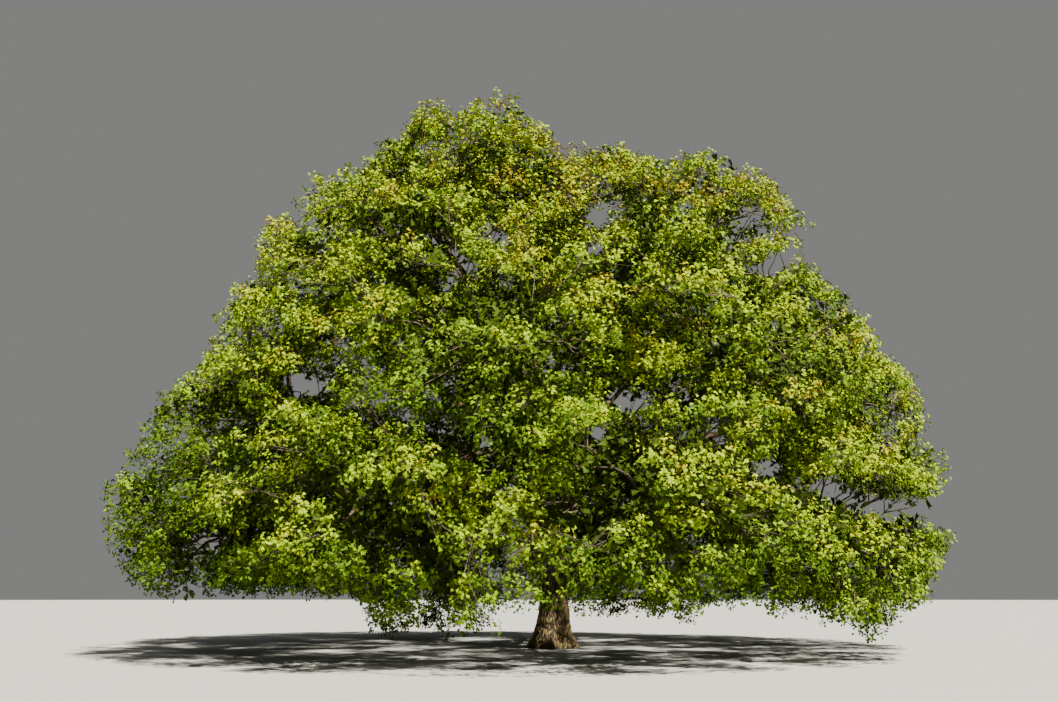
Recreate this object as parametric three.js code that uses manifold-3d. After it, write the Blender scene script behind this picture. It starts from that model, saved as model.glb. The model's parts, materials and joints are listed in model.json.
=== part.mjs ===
// An open-grown oak in spring leaf: a short stout trunk, its boughs, and the masses of foliage on their tips.
// Millimetres, +Z up. The origin is on the ground at the middle of the trunk's foot, and the front faces -Y.
// The crown is built in tiers. A tier is a ring of masses, and each mass grows on the tip of its own bough.

import * as THREE from "three";
import { mergeVertices } from "three/addons/utils/BufferGeometryUtils.js";
import Module from "manifold-3d";

const wasm = await Module();
wasm.setup();

const GAP = 0.3; // clearance where two pieces meet
const SEED = 5021;
const GOLDEN_ANGLE = Math.PI * (3 - Math.sqrt(5));
const UP = new THREE.Vector3(0, 0, 1);
const STEP = 0.01; // of a share, where one is searched for
const WELD = 0.001; // points closer than this are one

const TRUNK = {
  fork: new THREE.Vector3(-420, 160, 8000), // middle of the fork, over the foot
  sway: 90, // how far the trunk bows off the line from foot to fork
  baseRadius: 470, // of the shaft, without the root flare
  forkRadius: 275,
  flare: 300, // what the roots add to the radius at the ground
  flareHeight: 600, // the flare fades by 1/e over this height
  buttresses: 6,
  buttressShare: 0.17, // how far a buttress stands out of the mean radius at the ground
  uneven: 2, // how unevenly the buttresses stand around the foot
  sides: 18,
  rings: 11,
  ringSpacing: 1.9, // power that draws the rings together towards the foot
};

// Reach of the crown from the trunk's foot, by height: to the left and to the right as seen from -Y.
const CROWN = [
  { height: 600, left: 12500, right: 11900 },
  { height: 2000, left: 14000, right: 13100 },
  { height: 4200, left: 14500, right: 13300 },
  { height: 6300, left: 14100, right: 13200 },
  { height: 8300, left: 13200, right: 12700 },
  { height: 10500, left: 12100, right: 11700 },
  { height: 13500, left: 11300, right: 10600 },
  { height: 15200, left: 9900, right: 9400 },
  { height: 17000, left: 7200, right: 6800 },
  { height: 18400, left: 4600, right: 1900 },
];

// Angles in degrees. A ring's left stands higher than its right by "leftRise", its front than its back by
// "frontRise". A bough leaves its parent between the two shares of "from", climbs at the angle "leaves" and
// meets its mass at the angle "arrives".
const TIERS = [
  {
    name: "shoulder", parent: "trunk", masses: 8, height: 7500, leftRise: -200, frontRise: 0, turn: 33,
    halfDepth: 3500, halfHeight: 2900,
    from: [0.32, 0.58], leaves: 34, arrives: 12, rootRadius: 172, tipRadius: 84,
  },
  {
    name: "skirt", parent: "shoulder", masses: 9, height: 3450, leftRise: 0, frontRise: 0, turn: 0,
    halfDepth: 3500, halfHeight: 2700,
    from: [0.3, 0.46], leaves: 4, arrives: -18, rootRadius: 104, tipRadius: 62,
  },
  {
    name: "upper", parent: "trunk", masses: 6, height: 11300, leftRise: 500, frontRise: -400, turn: 56,
    halfDepth: 4200, halfHeight: 3000,
    from: [0.62, 0.88], leaves: 56, arrives: 34, rootRadius: 150, tipRadius: 76,
  },
  {
    name: "crown", parent: "trunk", masses: 5, height: 14100, leftRise: 1500, frontRise: -1500, turn: 8,
    halfDepth: 4600, halfHeight: 2700,
    from: [0.93, 0.965], leaves: 70, arrives: 50, rootRadius: 134, tipRadius: 70,
  },
  {
    name: "top", parent: "trunk", masses: 1, height: 16500, leftRise: 0, frontRise: 0, turn: 180,
    halfDepth: 4300, halfHeight: 2900,
    from: [0.96, 0.96], leaves: 88, arrives: 80, rootRadius: 138, tipRadius: 68,
  },
];
const TOP_OFFSET = 1300; // of the single mass on top, from the axis
const RING_OVERLAP = 1.16; // masses of a ring are this much wider than their share of it
const AZIMUTH_JITTER = 5; // degrees, either way
const HEIGHT_JITTER = 420;
const GROUND_CLEARANCE = 450;

const BOUGH = {
  sides: 6,
  rings: 5,
  collar: 0.35, // swelling at the root, as a share of the root's radius
  collarLength: 320, // over which it fades by 1/e
  bend: 0.32, // share of the length over which the angle at either end holds
  crook: 0.14, // sideways, as a share of the length
  entersAt: 0.78, // depth in the mass's space where the bough ends, as a share of the half sizes
};
const MASS = {
  separation: 50, // between the spaces of two neighbours
  coreShare: 0.5, // of the space's half sizes
  coreLumps: [0.84, 1.16], // share of the core's size at its points
  coreDetail: 1,
  twigs: 7,
  twigReach: 0.78, // where twigs end, as a share of the space's half sizes
  twigsFrom: 0.5, // share of the stem where those that point back leave it
  twigArch: 0.08, // rise at the middle, as a share of the length
  twigRadius: 62,
  twigTipRadius: 34,
  stemTipRadius: 46,
  stemSides: 5,
  nearby: 3000, // limbs this close to a core are looked at
  clear: 1, // least distance between two pieces that are not to touch
  shares: [1, 0.88, 0.76, 0.64], // of the full reach or size, tried in turn until one is clear
};
// A spray is a domed tuft at a twig's tip, with a pointed lobe for each of its shoots.
const SPRAY = {
  radius: [1500, 1800],
  lobes: 5,
  notch: 0.42, // depth between two lobes, as a share of the radius
  dome: 0.2, // height of the dome over its rim, as a share of the radius
  thickness: 150,
  sink: 60, // of the twig's tip below the dome's top
  skyward: 0.35, // how far a spray turns from facing outward to facing the sky
};

// Minimal standard generator, so that the crown comes out the same each time.
function seeded(seed) {
  let state = seed;
  return () => {
    state = (state * 16807) % 2147483647;
    return state / 2147483647;
  };
}

const radians = THREE.MathUtils.degToRad;
const mix = THREE.MathUtils.lerp;

// The horizontal direction at an azimuth, turned up by an elevation.
function direction(azimuth, elevation = 0) {
  const flat = Math.cos(elevation);
  return new THREE.Vector3(flat * Math.cos(azimuth), flat * Math.sin(azimuth), Math.sin(elevation));
}

function crownReach(azimuth, height) {
  const above = CROWN.findIndex((row) => row.height >= height);
  const high = CROWN[above < 0 ? CROWN.length - 1 : above];
  const low = CROWN[Math.max(0, above < 0 ? CROWN.length - 1 : above - 1)];
  const share = high === low ? 0 : (height - low.height) / (high.height - low.height);
  const leftShare = (1 - Math.cos(azimuth)) / 2;
  return mix(mix(low.right, low.left, leftShare), mix(high.right, high.left, leftShare), share);
}

// Part of a curve, by share of its length.
class Stretch extends THREE.Curve {
  constructor(whole, start, end) {
    super();
    this.whole = whole;
    this.start = start;
    this.end = end;
  }
  getPoint(t, target) {
    return this.whole.getPointAt(Math.min(1, mix(this.start, this.end, t)), target);
  }
}

// The trunk's centre line.
class TrunkLine extends THREE.Curve {
  getPoint(t, target = new THREE.Vector3()) {
    const bow = TRUNK.sway * Math.sin(2 * Math.PI * t);
    return target.set(TRUNK.fork.x * t * t + bow, TRUNK.fork.y * t * t - bow, TRUNK.fork.z * t);
  }
}
const trunkLine = new TrunkLine();

// A geometry's points and faces alone, each point once.
function bare(geometry) {
  geometry.deleteAttribute("normal");
  geometry.deleteAttribute("uv");
  return mergeVertices(geometry, WELD);
}

// Puts each point of a geometry where place(point) says.
function moveEach(geometry, place) {
  const points = geometry.attributes.position;
  for (let i = 0; i < points.count; i++) {
    const placed = place(new THREE.Vector3().fromBufferAttribute(points, i));
    points.setXYZ(i, placed.x, placed.y, placed.z);
  }
}

function solidOf(geometry) {
  const { attributes, index } = bare(geometry);
  return new wasm.Manifold(
    new wasm.Mesh({
      numProp: 3,
      vertProperties: new Float32Array(attributes.position.array),
      triVerts: new Uint32Array(index.array),
    }),
  );
}

function geometryOf(solid) {
  const mesh = solid.getMesh();
  const geometry = new THREE.BufferGeometry();
  geometry.setAttribute("position", new THREE.BufferAttribute(mesh.vertProperties, 3));
  geometry.setIndex(new THREE.BufferAttribute(mesh.triVerts, 1));
  geometry.computeVertexNormals();
  return geometry;
}

// A unit cylinder whose points are each moved by place(share along it, share of the radius, angle).
function bentCylinder(sides, rings, place) {
  const geometry = new THREE.CylinderGeometry(1, 1, 1, sides, rings);
  moveEach(geometry, ({ x, y, z }) => place(y + 0.5, Math.hypot(x, z), Math.atan2(x, z)));
  return geometry;
}

// A closed tapering limb along a curve.
function taperedLimb(curve, radiusAt, sides, rings) {
  const frames = curve.computeFrenetFrames(rings, false);
  return bentCylinder(sides, rings, (share, out, angle) => {
    const ring = Math.round(share * rings);
    const radius = out * radiusAt(share);
    return curve
      .getPointAt(share)
      .addScaledVector(frames.binormals[ring], radius * Math.sin(angle))
      .addScaledVector(frames.normals[ring], radius * Math.cos(angle));
  });
}

// The trunk's radius at a height and angle: a tapering shaft, its roots flaring into buttresses at the foot.
function trunkRadius(share, angle, extra) {
  const fade = Math.exp((-share * TRUNK.fork.z) / TRUNK.flareHeight);
  const shaft = mix(TRUNK.baseRadius, TRUNK.forkRadius, share) + TRUNK.flare * fade;
  const turns = TRUNK.buttresses * angle + TRUNK.uneven * Math.sin(angle);
  return shaft * (1 + TRUNK.buttressShare * fade * Math.cos(turns)) + extra;
}

// Rings stay level, so that the foot is a flat cut on the ground. They lie closer together towards the foot.
function trunkSolid(extra) {
  return solidOf(
    bentCylinder(TRUNK.sides, TRUNK.rings, (step, out, angle) => {
      const share = Math.pow(step, TRUNK.ringSpacing);
      const radius = out * trunkRadius(share, angle, extra);
      const rise = extra * Math.sign(step - 0.5) * (step === 0 || step === 1);
      return trunkLine
        .getPoint(share)
        .add(new THREE.Vector3(radius * Math.cos(angle), radius * Math.sin(angle), rise));
    }),
  );
}

// Each mass keeps to its space: an ellipsoid turned to face out of the crown, less what its neighbours hold.
function spacesOf(tier, random) {
  return Array.from({ length: tier.masses }, (_, i) => {
    const azimuth = radians(tier.turn + (360 * i) / tier.masses + AZIMUTH_JITTER * (2 * random() - 1));
    const rise = -(tier.leftRise * Math.cos(azimuth) + tier.frontRise * Math.sin(azimuth)) / 2;
    const height = tier.height + rise + HEIGHT_JITTER * (2 * random() - 1);
    const ring = tier.masses > 1 ? crownReach(azimuth, height) - tier.halfDepth : TOP_OFFSET;
    const halfWidth = tier.masses > 1 ? (RING_OVERLAP * Math.PI * ring) / tier.masses : tier.halfDepth;
    const outward = direction(azimuth);
    return {
      name: tier.name + "_" + (i + 1),
      tier,
      azimuth,
      index: i,
      centre: outward.clone().multiplyScalar(ring).setZ(height),
      axes: [outward, new THREE.Vector3().crossVectors(UP, outward), UP],
      half: [tier.halfDepth, halfWidth, tier.halfHeight],
    };
  });
}

// How far a space reaches from its centre along a direction.
function support(space, toward) {
  return Math.hypot(...space.axes.map((axis, k) => space.half[k] * axis.dot(toward)));
}

// A point of the space, from its centre out along a direction, at a share of the half sizes.
function pointIn(space, aim, share) {
  const point = space.centre.clone();
  space.axes.forEach((axis, k) => point.addScaledVector(axis, share * space.half[k] * aim.getComponent(k)));
  return point;
}

function depthIn(space, point) {
  const off = point.clone().sub(space.centre);
  return Math.hypot(...space.axes.map((axis, k) => off.dot(axis) / space.half[k]));
}

// Planes that part a space from its neighbours, each as far from both as their sizes ask.
function wallsOf(space, spaces) {
  const walls = spaces
    .filter((other) => other !== space)
    .map((other) => {
      const toward = other.centre.clone().sub(space.centre);
      const distance = toward.length();
      toward.normalize();
      const mine = support(space, toward);
      const place = (distance * mine) / (mine + support(other, toward)) - MASS.separation / 2;
      return new THREE.Plane(toward, -(space.centre.dot(toward) + place));
    });
  walls.push(new THREE.Plane(UP.clone().negate(), GROUND_CLEARANCE));
  return walls;
}

const holds = (space, points) =>
  points.every((p) => depthIn(space, p) <= 1 && space.walls.every((wall) => wall.distanceToPoint(p) <= 0));

// A bough's path, from the axis of its parent to the heart of its mass. It leaves and arrives at its tier's
// angles, a little crooked on the way.
function boughPath(space, start, random) {
  const { leaves, arrives } = space.tier;
  const end = space.centre;
  const length = start.distanceTo(end);
  const bearing = Math.atan2(end.y - start.y, end.x - start.x);
  const side = direction(bearing + Math.PI / 2);
  const bend = BOUGH.bend * length;
  const first = start.clone().addScaledVector(direction(bearing, radians(leaves)), bend);
  const second = end.clone().addScaledVector(direction(space.azimuth, radians(arrives)), -bend);
  first.addScaledVector(side, BOUGH.crook * length * (2 * random() - 1));
  second.addScaledVector(side, BOUGH.crook * length * (2 * random() - 1));
  return new THREE.CubicBezierCurve3(start, first, second, end);
}

// The bough nearest in azimuth carries a second one.
function parentOf(space, boughs) {
  const turn = (bough) => Math.abs(Math.sin((bough.space.azimuth - space.azimuth) / 2));
  return boughs
    .filter((bough) => bough.space.tier.name === space.tier.parent)
    .reduce((best, bough) => (turn(bough) < turn(best) ? bough : best));
}

// Boughs of a tier leave their parent one above another, in an order that parts neighbours.
function leavingShare(space) {
  const { from, masses } = space.tier;
  return mix(from[0], from[1], ((space.index * 3) % masses) / Math.max(1, masses - 1));
}

function growBough(space, boughs, random) {
  const parent = space.tier.parent === "trunk" ? null : parentOf(space, boughs);
  const start = (parent ? parent.path : trunkLine).getPointAt(leavingShare(space));
  const path = boughPath(space, start, random);
  const length = path.getLength();
  let tip = 1;
  while (depthIn(space, path.getPointAt(tip)) < BOUGH.entersAt) tip -= STEP;
  const { rootRadius, tipRadius } = space.tier;
  const radiusAt = (share) =>
    mix(rootRadius, tipRadius, share) +
    BOUGH.collar * rootRadius * Math.exp((-share * tip * length) / BOUGH.collarLength);
  const grown = (extra) =>
    solidOf(taperedLimb(new Stretch(path, 0, tip), (s) => radiusAt(s) + extra, BOUGH.sides, BOUGH.rings));
  return { space, path, tip, length, tipRadius, grown };
}

// The largest body of a solid, without the scraps that a cut leaves.
function largest(solid) {
  return solid.decompose().reduce((best, body) => (body.volume() > best.volume() ? body : best));
}

// What is left of a solid beside the limbs that it meets, clear of them by the gap.
function cutBy(solid, limbs) {
  const met = limbs.filter((limb) => solid.minGap(limb.solid, MASS.clear) < MASS.clear);
  return met.reduce((rest, limb) => rest.subtract(limb.grown), solid);
}

// The stem of a mass carries its bough's line on, from just clear of the tip to the heart of the mass.
function stemOf(bough) {
  const stretch = new Stretch(bough.path, bough.tip + GAP / bough.length, 1);
  const radiusAt = (share) => mix(bough.tipRadius, MASS.stemTipRadius, share);
  return { stretch, solid: solidOf(taperedLimb(stretch, radiusAt, MASS.stemSides, 1)) };
}

// Even directions over a sphere, turned by a seeded angle.
function lattice(count, turn) {
  return Array.from({ length: count }, (_, k) => {
    const z = 1 - (2 * k + 1) / count;
    return direction(turn + k * GOLDEN_ANGLE, Math.asin(z));
  });
}

// The core of a mass: a lumpy faceted ball, drawn in where a wall of its space is near.
function coreOf(space, random) {
  const ball = bare(new THREE.IcosahedronGeometry(1, MASS.coreDetail));
  moveEach(ball, (point) => {
    const aim = point.clone().normalize();
    let share = MASS.coreShare * mix(...MASS.coreLumps, random());
    while (!holds(space, [pointIn(space, aim, share)])) share -= STEP;
    return pointIn(space, aim, share);
  });
  return solidOf(ball);
}

// A twig runs from the stem to its place under the shell, a little arched.
function twigPath(space, stem, aim, share) {
  const end = pointIn(space, aim, share * MASS.twigReach);
  const start = stem.stretch.getPointAt(mix(MASS.twigsFrom, 1, (1 + aim.x) / 2));
  const middle = start.clone().lerp(end, 0.5).addScaledVector(UP, MASS.twigArch * start.distanceTo(end));
  return new THREE.QuadraticBezierCurve3(start, middle, end);
}

// A spray with its top at a point, facing a direction and turned about it by an angle.
function sprayGeometry(top, facing, turn, radius) {
  const across = new THREE.Vector3().crossVectors(direction(turn), facing).normalize();
  const along = new THREE.Vector3().crossVectors(facing, across);
  const tuft = bare(new THREE.SphereGeometry(1, 2 * SPRAY.lobes, 2));
  moveEach(tuft, ({ x, y, z }) => {
    const angle = Math.atan2(z, x);
    const lobe = 1 - (SPRAY.notch * (1 - Math.cos(SPRAY.lobes * angle))) / 2;
    const out = radius * Math.hypot(x, z) * lobe;
    const rise = Math.abs(y) < 0.5 ? -SPRAY.dome * radius : (SPRAY.thickness * (y - 1)) / 2;
    return top
      .clone()
      .addScaledVector(along, out * Math.cos(angle))
      .addScaledVector(across, out * Math.sin(angle))
      .addScaledVector(facing, rise);
  });
  return tuft;
}

function pointsOf(geometry) {
  const points = geometry.attributes.position;
  return Array.from({ length: points.count }, (_, i) => new THREE.Vector3().fromBufferAttribute(points, i));
}

// A twig and the spray on its tip: the longest twig, and then the largest spray, that keeps to the space and
// clear of the pieces in it.
function shootOf(space, stem, aim, clear, random) {
  const turn = 2 * Math.PI * random();
  const radius = mix(...SPRAY.radius, random());
  for (const reach of MASS.shares) {
    const path = twigPath(space, stem, aim, reach);
    const tip = path.getPointAt(1);
    const outward = tip.clone().sub(space.centre).normalize();
    const facing = outward.addScaledVector(UP, SPRAY.skyward).normalize();
    const top = tip.clone().addScaledVector(facing, SPRAY.sink);
    const spray = MASS.shares
      .map((share) => sprayGeometry(top, facing, turn, share * radius))
      .filter((each) => holds(space, pointsOf(each)))
      .map(solidOf)
      .find(clear);
    if (spray) {
      const radiusAt = (share) => mix(MASS.twigRadius, MASS.twigTipRadius, share);
      return { spray, twig: solidOf(taperedLimb(path, radiusAt, 3, 1)) };
    }
  }
  return null;
}

// A mass of foliage: stem, core, twigs to an even lattice of places under the shell, and a spray on each.
function growMass(bough, limbs, random) {
  const { space } = bough;
  const stem = stemOf(bough);
  const ball = coreOf(space, random);
  const near = limbs.filter((limb) => limb.solid.minGap(ball, MASS.nearby) < MASS.nearby);
  const core = largest(cutBy(ball, near));
  const parted = (one, other) => one.minGap(other, MASS.clear) >= MASS.clear;
  const clearOf = (solids) => (solid) => solids.every((other) => parted(solid, other));
  const shoots = [];
  for (const aim of lattice(MASS.twigs, 2 * Math.PI * random())) {
    const fixed = [...near.map((limb) => limb.solid), ...shoots.map((shoot) => shoot.spray)];
    const shoot = shootOf(space, stem, aim, clearOf([core, ...fixed]), random);
    if (shoot && clearOf(fixed)(shoot.twig)) shoots.push(shoot);
  }
  const parts = shoots.flatMap(({ twig, spray }) => [twig, spray]);
  return largest(wasm.Manifold.union([core, stem.solid, ...parts]));
}

const bark = new THREE.MeshStandardMaterial({ color: 0x5a4a36, roughness: 0.92, metalness: 0 });
const foliage = new THREE.MeshStandardMaterial({ color: 0x6f8f1e, roughness: 0.6, metalness: 0 });

function add(group, name, solid, material) {
  const mesh = new THREE.Mesh(geometryOf(solid), material);
  mesh.name = name;
  group.add(mesh);
}

function buildOak() {
  const random = seeded(SEED);
  const oak = new THREE.Group();
  const spaces = TIERS.flatMap((tier) => spacesOf(tier, random));
  spaces.forEach((space) => (space.walls = wallsOf(space, spaces)));
  const boughs = [];
  spaces.forEach((space) => boughs.push(growBough(space, boughs, random)));

  const limbs = [{ solid: trunkSolid(0), grown: trunkSolid(GAP) }];
  add(oak, "trunk", limbs[0].solid, bark);
  for (const bough of boughs) {
    limbs.push({ solid: largest(cutBy(bough.grown(0), limbs)), grown: bough.grown(GAP) });
    add(oak, "bough_" + bough.space.name, limbs.at(-1).solid, bark);
  }
  boughs.forEach((bough) => add(oak, "foliage_" + bough.space.name, growMass(bough, limbs, random), foliage));
  return oak;
}

export default buildOak();
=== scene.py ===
# An open-grown oak in spring leaf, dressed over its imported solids. The trunk, the boughs and the spaces of
# the masses follow the solids' own seeded rule. Branches, twigs and leaves grow on in those spaces by rules
# of their own. Metres, +Z up.

import json
import math
from functools import lru_cache
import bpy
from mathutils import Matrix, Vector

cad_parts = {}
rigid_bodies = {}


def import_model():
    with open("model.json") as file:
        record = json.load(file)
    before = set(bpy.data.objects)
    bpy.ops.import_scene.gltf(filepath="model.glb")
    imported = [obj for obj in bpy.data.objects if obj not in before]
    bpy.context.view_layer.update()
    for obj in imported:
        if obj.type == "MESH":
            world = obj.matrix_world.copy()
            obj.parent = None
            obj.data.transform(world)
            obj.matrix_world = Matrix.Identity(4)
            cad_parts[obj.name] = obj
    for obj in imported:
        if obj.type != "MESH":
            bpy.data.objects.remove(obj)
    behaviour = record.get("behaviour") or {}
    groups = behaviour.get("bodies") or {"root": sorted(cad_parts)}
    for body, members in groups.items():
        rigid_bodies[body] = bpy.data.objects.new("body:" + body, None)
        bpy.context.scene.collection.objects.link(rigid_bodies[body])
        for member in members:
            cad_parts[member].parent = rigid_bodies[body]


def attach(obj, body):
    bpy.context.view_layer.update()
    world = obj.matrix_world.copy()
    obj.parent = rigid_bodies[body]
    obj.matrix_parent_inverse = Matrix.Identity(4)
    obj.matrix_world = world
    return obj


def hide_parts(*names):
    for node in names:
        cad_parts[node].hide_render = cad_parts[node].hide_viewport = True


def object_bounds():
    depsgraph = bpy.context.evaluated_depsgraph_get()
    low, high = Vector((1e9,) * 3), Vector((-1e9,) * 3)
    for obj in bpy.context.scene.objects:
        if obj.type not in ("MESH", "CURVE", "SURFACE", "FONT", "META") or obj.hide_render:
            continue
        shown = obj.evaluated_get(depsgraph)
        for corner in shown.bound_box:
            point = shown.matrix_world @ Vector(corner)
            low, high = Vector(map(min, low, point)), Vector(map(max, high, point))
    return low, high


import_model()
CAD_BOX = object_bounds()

from types import SimpleNamespace

import bpy
import numpy as np
from bpy.props import FloatProperty, FloatVectorProperty, IntProperty, PointerProperty
from mathutils import Vector

bl_info = {
    "name": "Open-grown oak",
    "version": (1, 0, 0),
    "blender": (4, 5, 0),
    "location": "View3D > Sidebar > Oak",
    "description": "Grows an oak's bark, branches, twigs and leaves on its boughs",
    "category": "Add Mesh",
}

BODY = "root"

# The rule that the solids follow, with lengths in metres and angles in degrees.

SEED = 5021
# From a bough's tip to its stem, and the step by which the tip is sought, as a share of the bough.
GAP = 0.0003
STEP = 0.01
GOLDEN_ANGLE = math.pi * (3 - math.sqrt(5))
UP = np.array([0.0, 0.0, 1.0])

TRUNK = {
    "fork": (-0.42, 0.16, 8.0),
    "sway": 0.09,
    "base_radius": 0.47,
    "fork_radius": 0.275,
    "flare": 0.3,
    "flare_height": 0.6,
    "buttresses": 6,
    "buttress_share": 0.17,
    "uneven": 2,
}

# Reach of the crown from the trunk's foot: height, to the left, to the right. Set from measurements of the
# photograph's outline.
CROWN = [
    (0.6, 12.5, 11.9),
    (2.0, 14.0, 13.1),
    (4.2, 14.5, 13.3),
    (6.3, 14.1, 13.2),
    (8.3, 13.2, 12.7),
    (10.5, 12.1, 11.7),
    (13.5, 11.3, 10.6),
    (15.2, 9.9, 9.4),
    (17.0, 7.2, 6.8),
    (18.4, 4.6, 1.9),
]

TIERS = [
    {
        "name": "shoulder", "parent": "trunk", "masses": 8, "height": 7.5, "left_rise": -0.2,
        "front_rise": 0.0, "turn": 33, "half_depth": 3.5, "half_height": 2.9, "leaves_parent": (0.32, 0.58),
        "leaves_at": 34, "arrives_at": 12, "root_radius": 0.172, "tip_radius": 0.084,
    },
    {
        "name": "skirt", "parent": "shoulder", "masses": 9, "height": 3.45, "left_rise": 0.0,
        "front_rise": 0.0, "turn": 0, "half_depth": 3.5, "half_height": 2.7, "leaves_parent": (0.3, 0.46),
        "leaves_at": 4, "arrives_at": -18, "root_radius": 0.104, "tip_radius": 0.062,
    },
    {
        "name": "upper", "parent": "trunk", "masses": 6, "height": 11.3, "left_rise": 0.5,
        "front_rise": -0.4, "turn": 56, "half_depth": 4.2, "half_height": 3.0, "leaves_parent": (0.62, 0.88),
        "leaves_at": 56, "arrives_at": 34, "root_radius": 0.15, "tip_radius": 0.076,
    },
    {
        "name": "crown", "parent": "trunk", "masses": 5, "height": 14.1, "left_rise": 1.5,
        "front_rise": -1.5, "turn": 8, "half_depth": 4.6, "half_height": 2.7, "leaves_parent": (0.93, 0.965),
        "leaves_at": 70, "arrives_at": 50, "root_radius": 0.134, "tip_radius": 0.07,
    },
    {
        "name": "top", "parent": "trunk", "masses": 1, "height": 16.5, "left_rise": 0.0,
        "front_rise": 0.0, "turn": 180, "half_depth": 4.3, "half_height": 2.9, "leaves_parent": (0.96, 0.96),
        "leaves_at": 88, "arrives_at": 80, "root_radius": 0.138, "tip_radius": 0.068,
    },
]
TOP_OFFSET = 1.3
RING_OVERLAP = 1.16
AZIMUTH_JITTER = 5
HEIGHT_JITTER = 0.42
GROUND_CLEARANCE = 0.45
SEPARATION = 0.05

BOUGH = {"collar": 0.35, "collar_length": 0.32, "bend": 0.32, "crook": 0.14, "enters_at": 0.78}
STEM_TIP_RADIUS = 0.046
CORE_POINTS = 42
SOLID_TWIGS = 7
DRAWS_PER_MASS = CORE_POINTS + 1 + 2 * SOLID_TWIGS
REACH_SHARES = (1.0, 0.88, 0.76, 0.64, 0.52)

# Each order of growth: its rise at the middle as a share of its length, its radius at either end, its points.
ORDERS = {
    "branch": {"arch": 0.08, "radii": (0.046, 0.02), "points": 7},
    "twig": {"arch": 0.1, "radii": (0.019, 0.009), "points": 4},
    "shoot": {"arch": 0.12, "radii": (0.0085, 0.0045), "points": 2},
}
# How far the points of a branch and of a twig stray, as shares of its length.
BRANCH_CROOK, TWIG_CROOK = 0.02, 0.06


def seeded(seed):
    """The minimal standard generator, as a function that draws the next number."""
    state = seed

    def draw():
        nonlocal state
        state = state * 16807 % 2147483647
        return state / 2147483647

    return draw


def mix(a, b, share):
    return a + (b - a) * share


def unit(vectors):
    return vectors / np.linalg.norm(vectors, axis=-1, keepdims=True)


def direction(azimuth, elevation=0.0):
    """The horizontal direction at an azimuth, turned up by an elevation."""
    flat = math.cos(elevation)
    return np.array([flat * math.cos(azimuth), flat * math.sin(azimuth), math.sin(elevation)])


def crown_reach(azimuth, height):
    heights, left, right = np.array(CROWN).T
    left_share = (1 - np.cos(azimuth)) / 2
    return mix(np.interp(height, heights, right), np.interp(height, heights, left), left_share)


class Path:
    """A smooth line that is read by share of its length."""

    STEPS = 200

    def __init__(self, point_at, start=0.0, end=1.0):
        self.point_at = point_at
        self.start, self.end = start, end
        self.knots = np.linspace(0, 1, self.STEPS + 1)
        reach = np.linalg.norm(np.diff(point_at(self.knots), axis=0), axis=1)
        self.travelled = np.concatenate([[0], np.cumsum(reach)])
        self.length = self.travelled[-1] * (end - start)

    def at(self, share):
        whole = np.minimum(1, mix(self.start, self.end, np.asarray(share, float)))
        return self.point_at(np.interp(whole * self.travelled[-1], self.travelled, self.knots))

    def stretch(self, start, end):
        return Path(self.point_at, start, end)


def trunk_line(t):
    t = np.asarray(t, float)
    bow = TRUNK["sway"] * np.sin(2 * math.pi * t)
    fork = TRUNK["fork"]
    return np.stack([fork[0] * t * t + bow, fork[1] * t * t - bow, fork[2] * t], -1)


def bezier(a, b, c, d):
    def point_at(t):
        t = np.asarray(t, float)[..., None]
        rest = 1 - t
        return rest**3 * a + 3 * rest**2 * t * b + 3 * rest * t**2 * c + t**3 * d

    return Path(point_at)


def arc(start, end, arch, t):
    """Points of a line from start to end that rises by a share of its length at the middle."""
    middle = (start + end) / 2 + arch * np.linalg.norm(end - start, axis=-1, keepdims=True) * UP
    t = np.asarray(t, float)[:, None]
    start, middle, end = (np.asarray(p)[..., None, :] for p in (start, middle, end))
    return (1 - t) ** 2 * start + 2 * (1 - t) * t * middle + t * t * end


def filled_out(points):
    """How far points lie from the centre of a unit ball that is drawn out a little towards its corners."""
    return np.linalg.norm(points, ord=3, axis=-1)


class Space:
    """The room that one mass of foliage keeps to: an ellipsoid, less what its neighbours hold."""

    def __init__(self, tier, index, draw):
        self.tier, self.index = tier, index
        masses = tier["masses"]
        turn = tier["turn"] + 360 * index / masses + AZIMUTH_JITTER * (2 * draw() - 1)
        self.azimuth = math.radians(turn)
        front = tier["front_rise"] * math.sin(self.azimuth)
        rise = -(tier["left_rise"] * math.cos(self.azimuth) + front) / 2
        height = tier["height"] + rise + HEIGHT_JITTER * (2 * draw() - 1)
        ring, half_width = TOP_OFFSET, tier["half_depth"]
        if masses > 1:
            ring = crown_reach(self.azimuth, height) - tier["half_depth"]
            half_width = RING_OVERLAP * math.pi * ring / masses
        outward = direction(self.azimuth)
        self.name = f"{tier['name']}_{index + 1}"
        self.centre = outward * ring + UP * height
        self.axes = np.array([outward, np.cross(UP, outward), UP])
        self.half = np.array([tier["half_depth"], half_width, tier["half_height"]])

    def support(self, toward):
        return np.linalg.norm(self.half * (self.axes @ toward))

    def wall_in(self, spaces):
        """Sets the planes that part this space from the others and from the ground."""
        normals, places = [-UP], [-GROUND_CLEARANCE]
        for other in spaces:
            if other is self:
                continue
            toward = other.centre - self.centre
            distance = np.linalg.norm(toward)
            toward = toward / distance
            mine = self.support(toward)
            place = distance * mine / (mine + other.support(toward)) - SEPARATION / 2
            normals.append(toward)
            places.append(self.centre @ toward + place)
        self.normals, self.places = np.array(normals), np.array(places)

    def point(self, aim, share):
        return self.centre + (share * self.half * aim) @ self.axes

    def depth(self, points):
        return np.linalg.norm(((points - self.centre) @ self.axes.T) / self.half, axis=-1)

    def room(self, points, fullness):
        """How far points lie inside the walls and inside a share of the ellipsoid, its corners filled out."""
        beside = np.min(self.places - points @ self.normals.T, axis=-1)
        depth = filled_out(((points - self.centre) @ self.axes.T) / self.half)
        return np.minimum(beside, (fullness - depth) * self.half.min())


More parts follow.
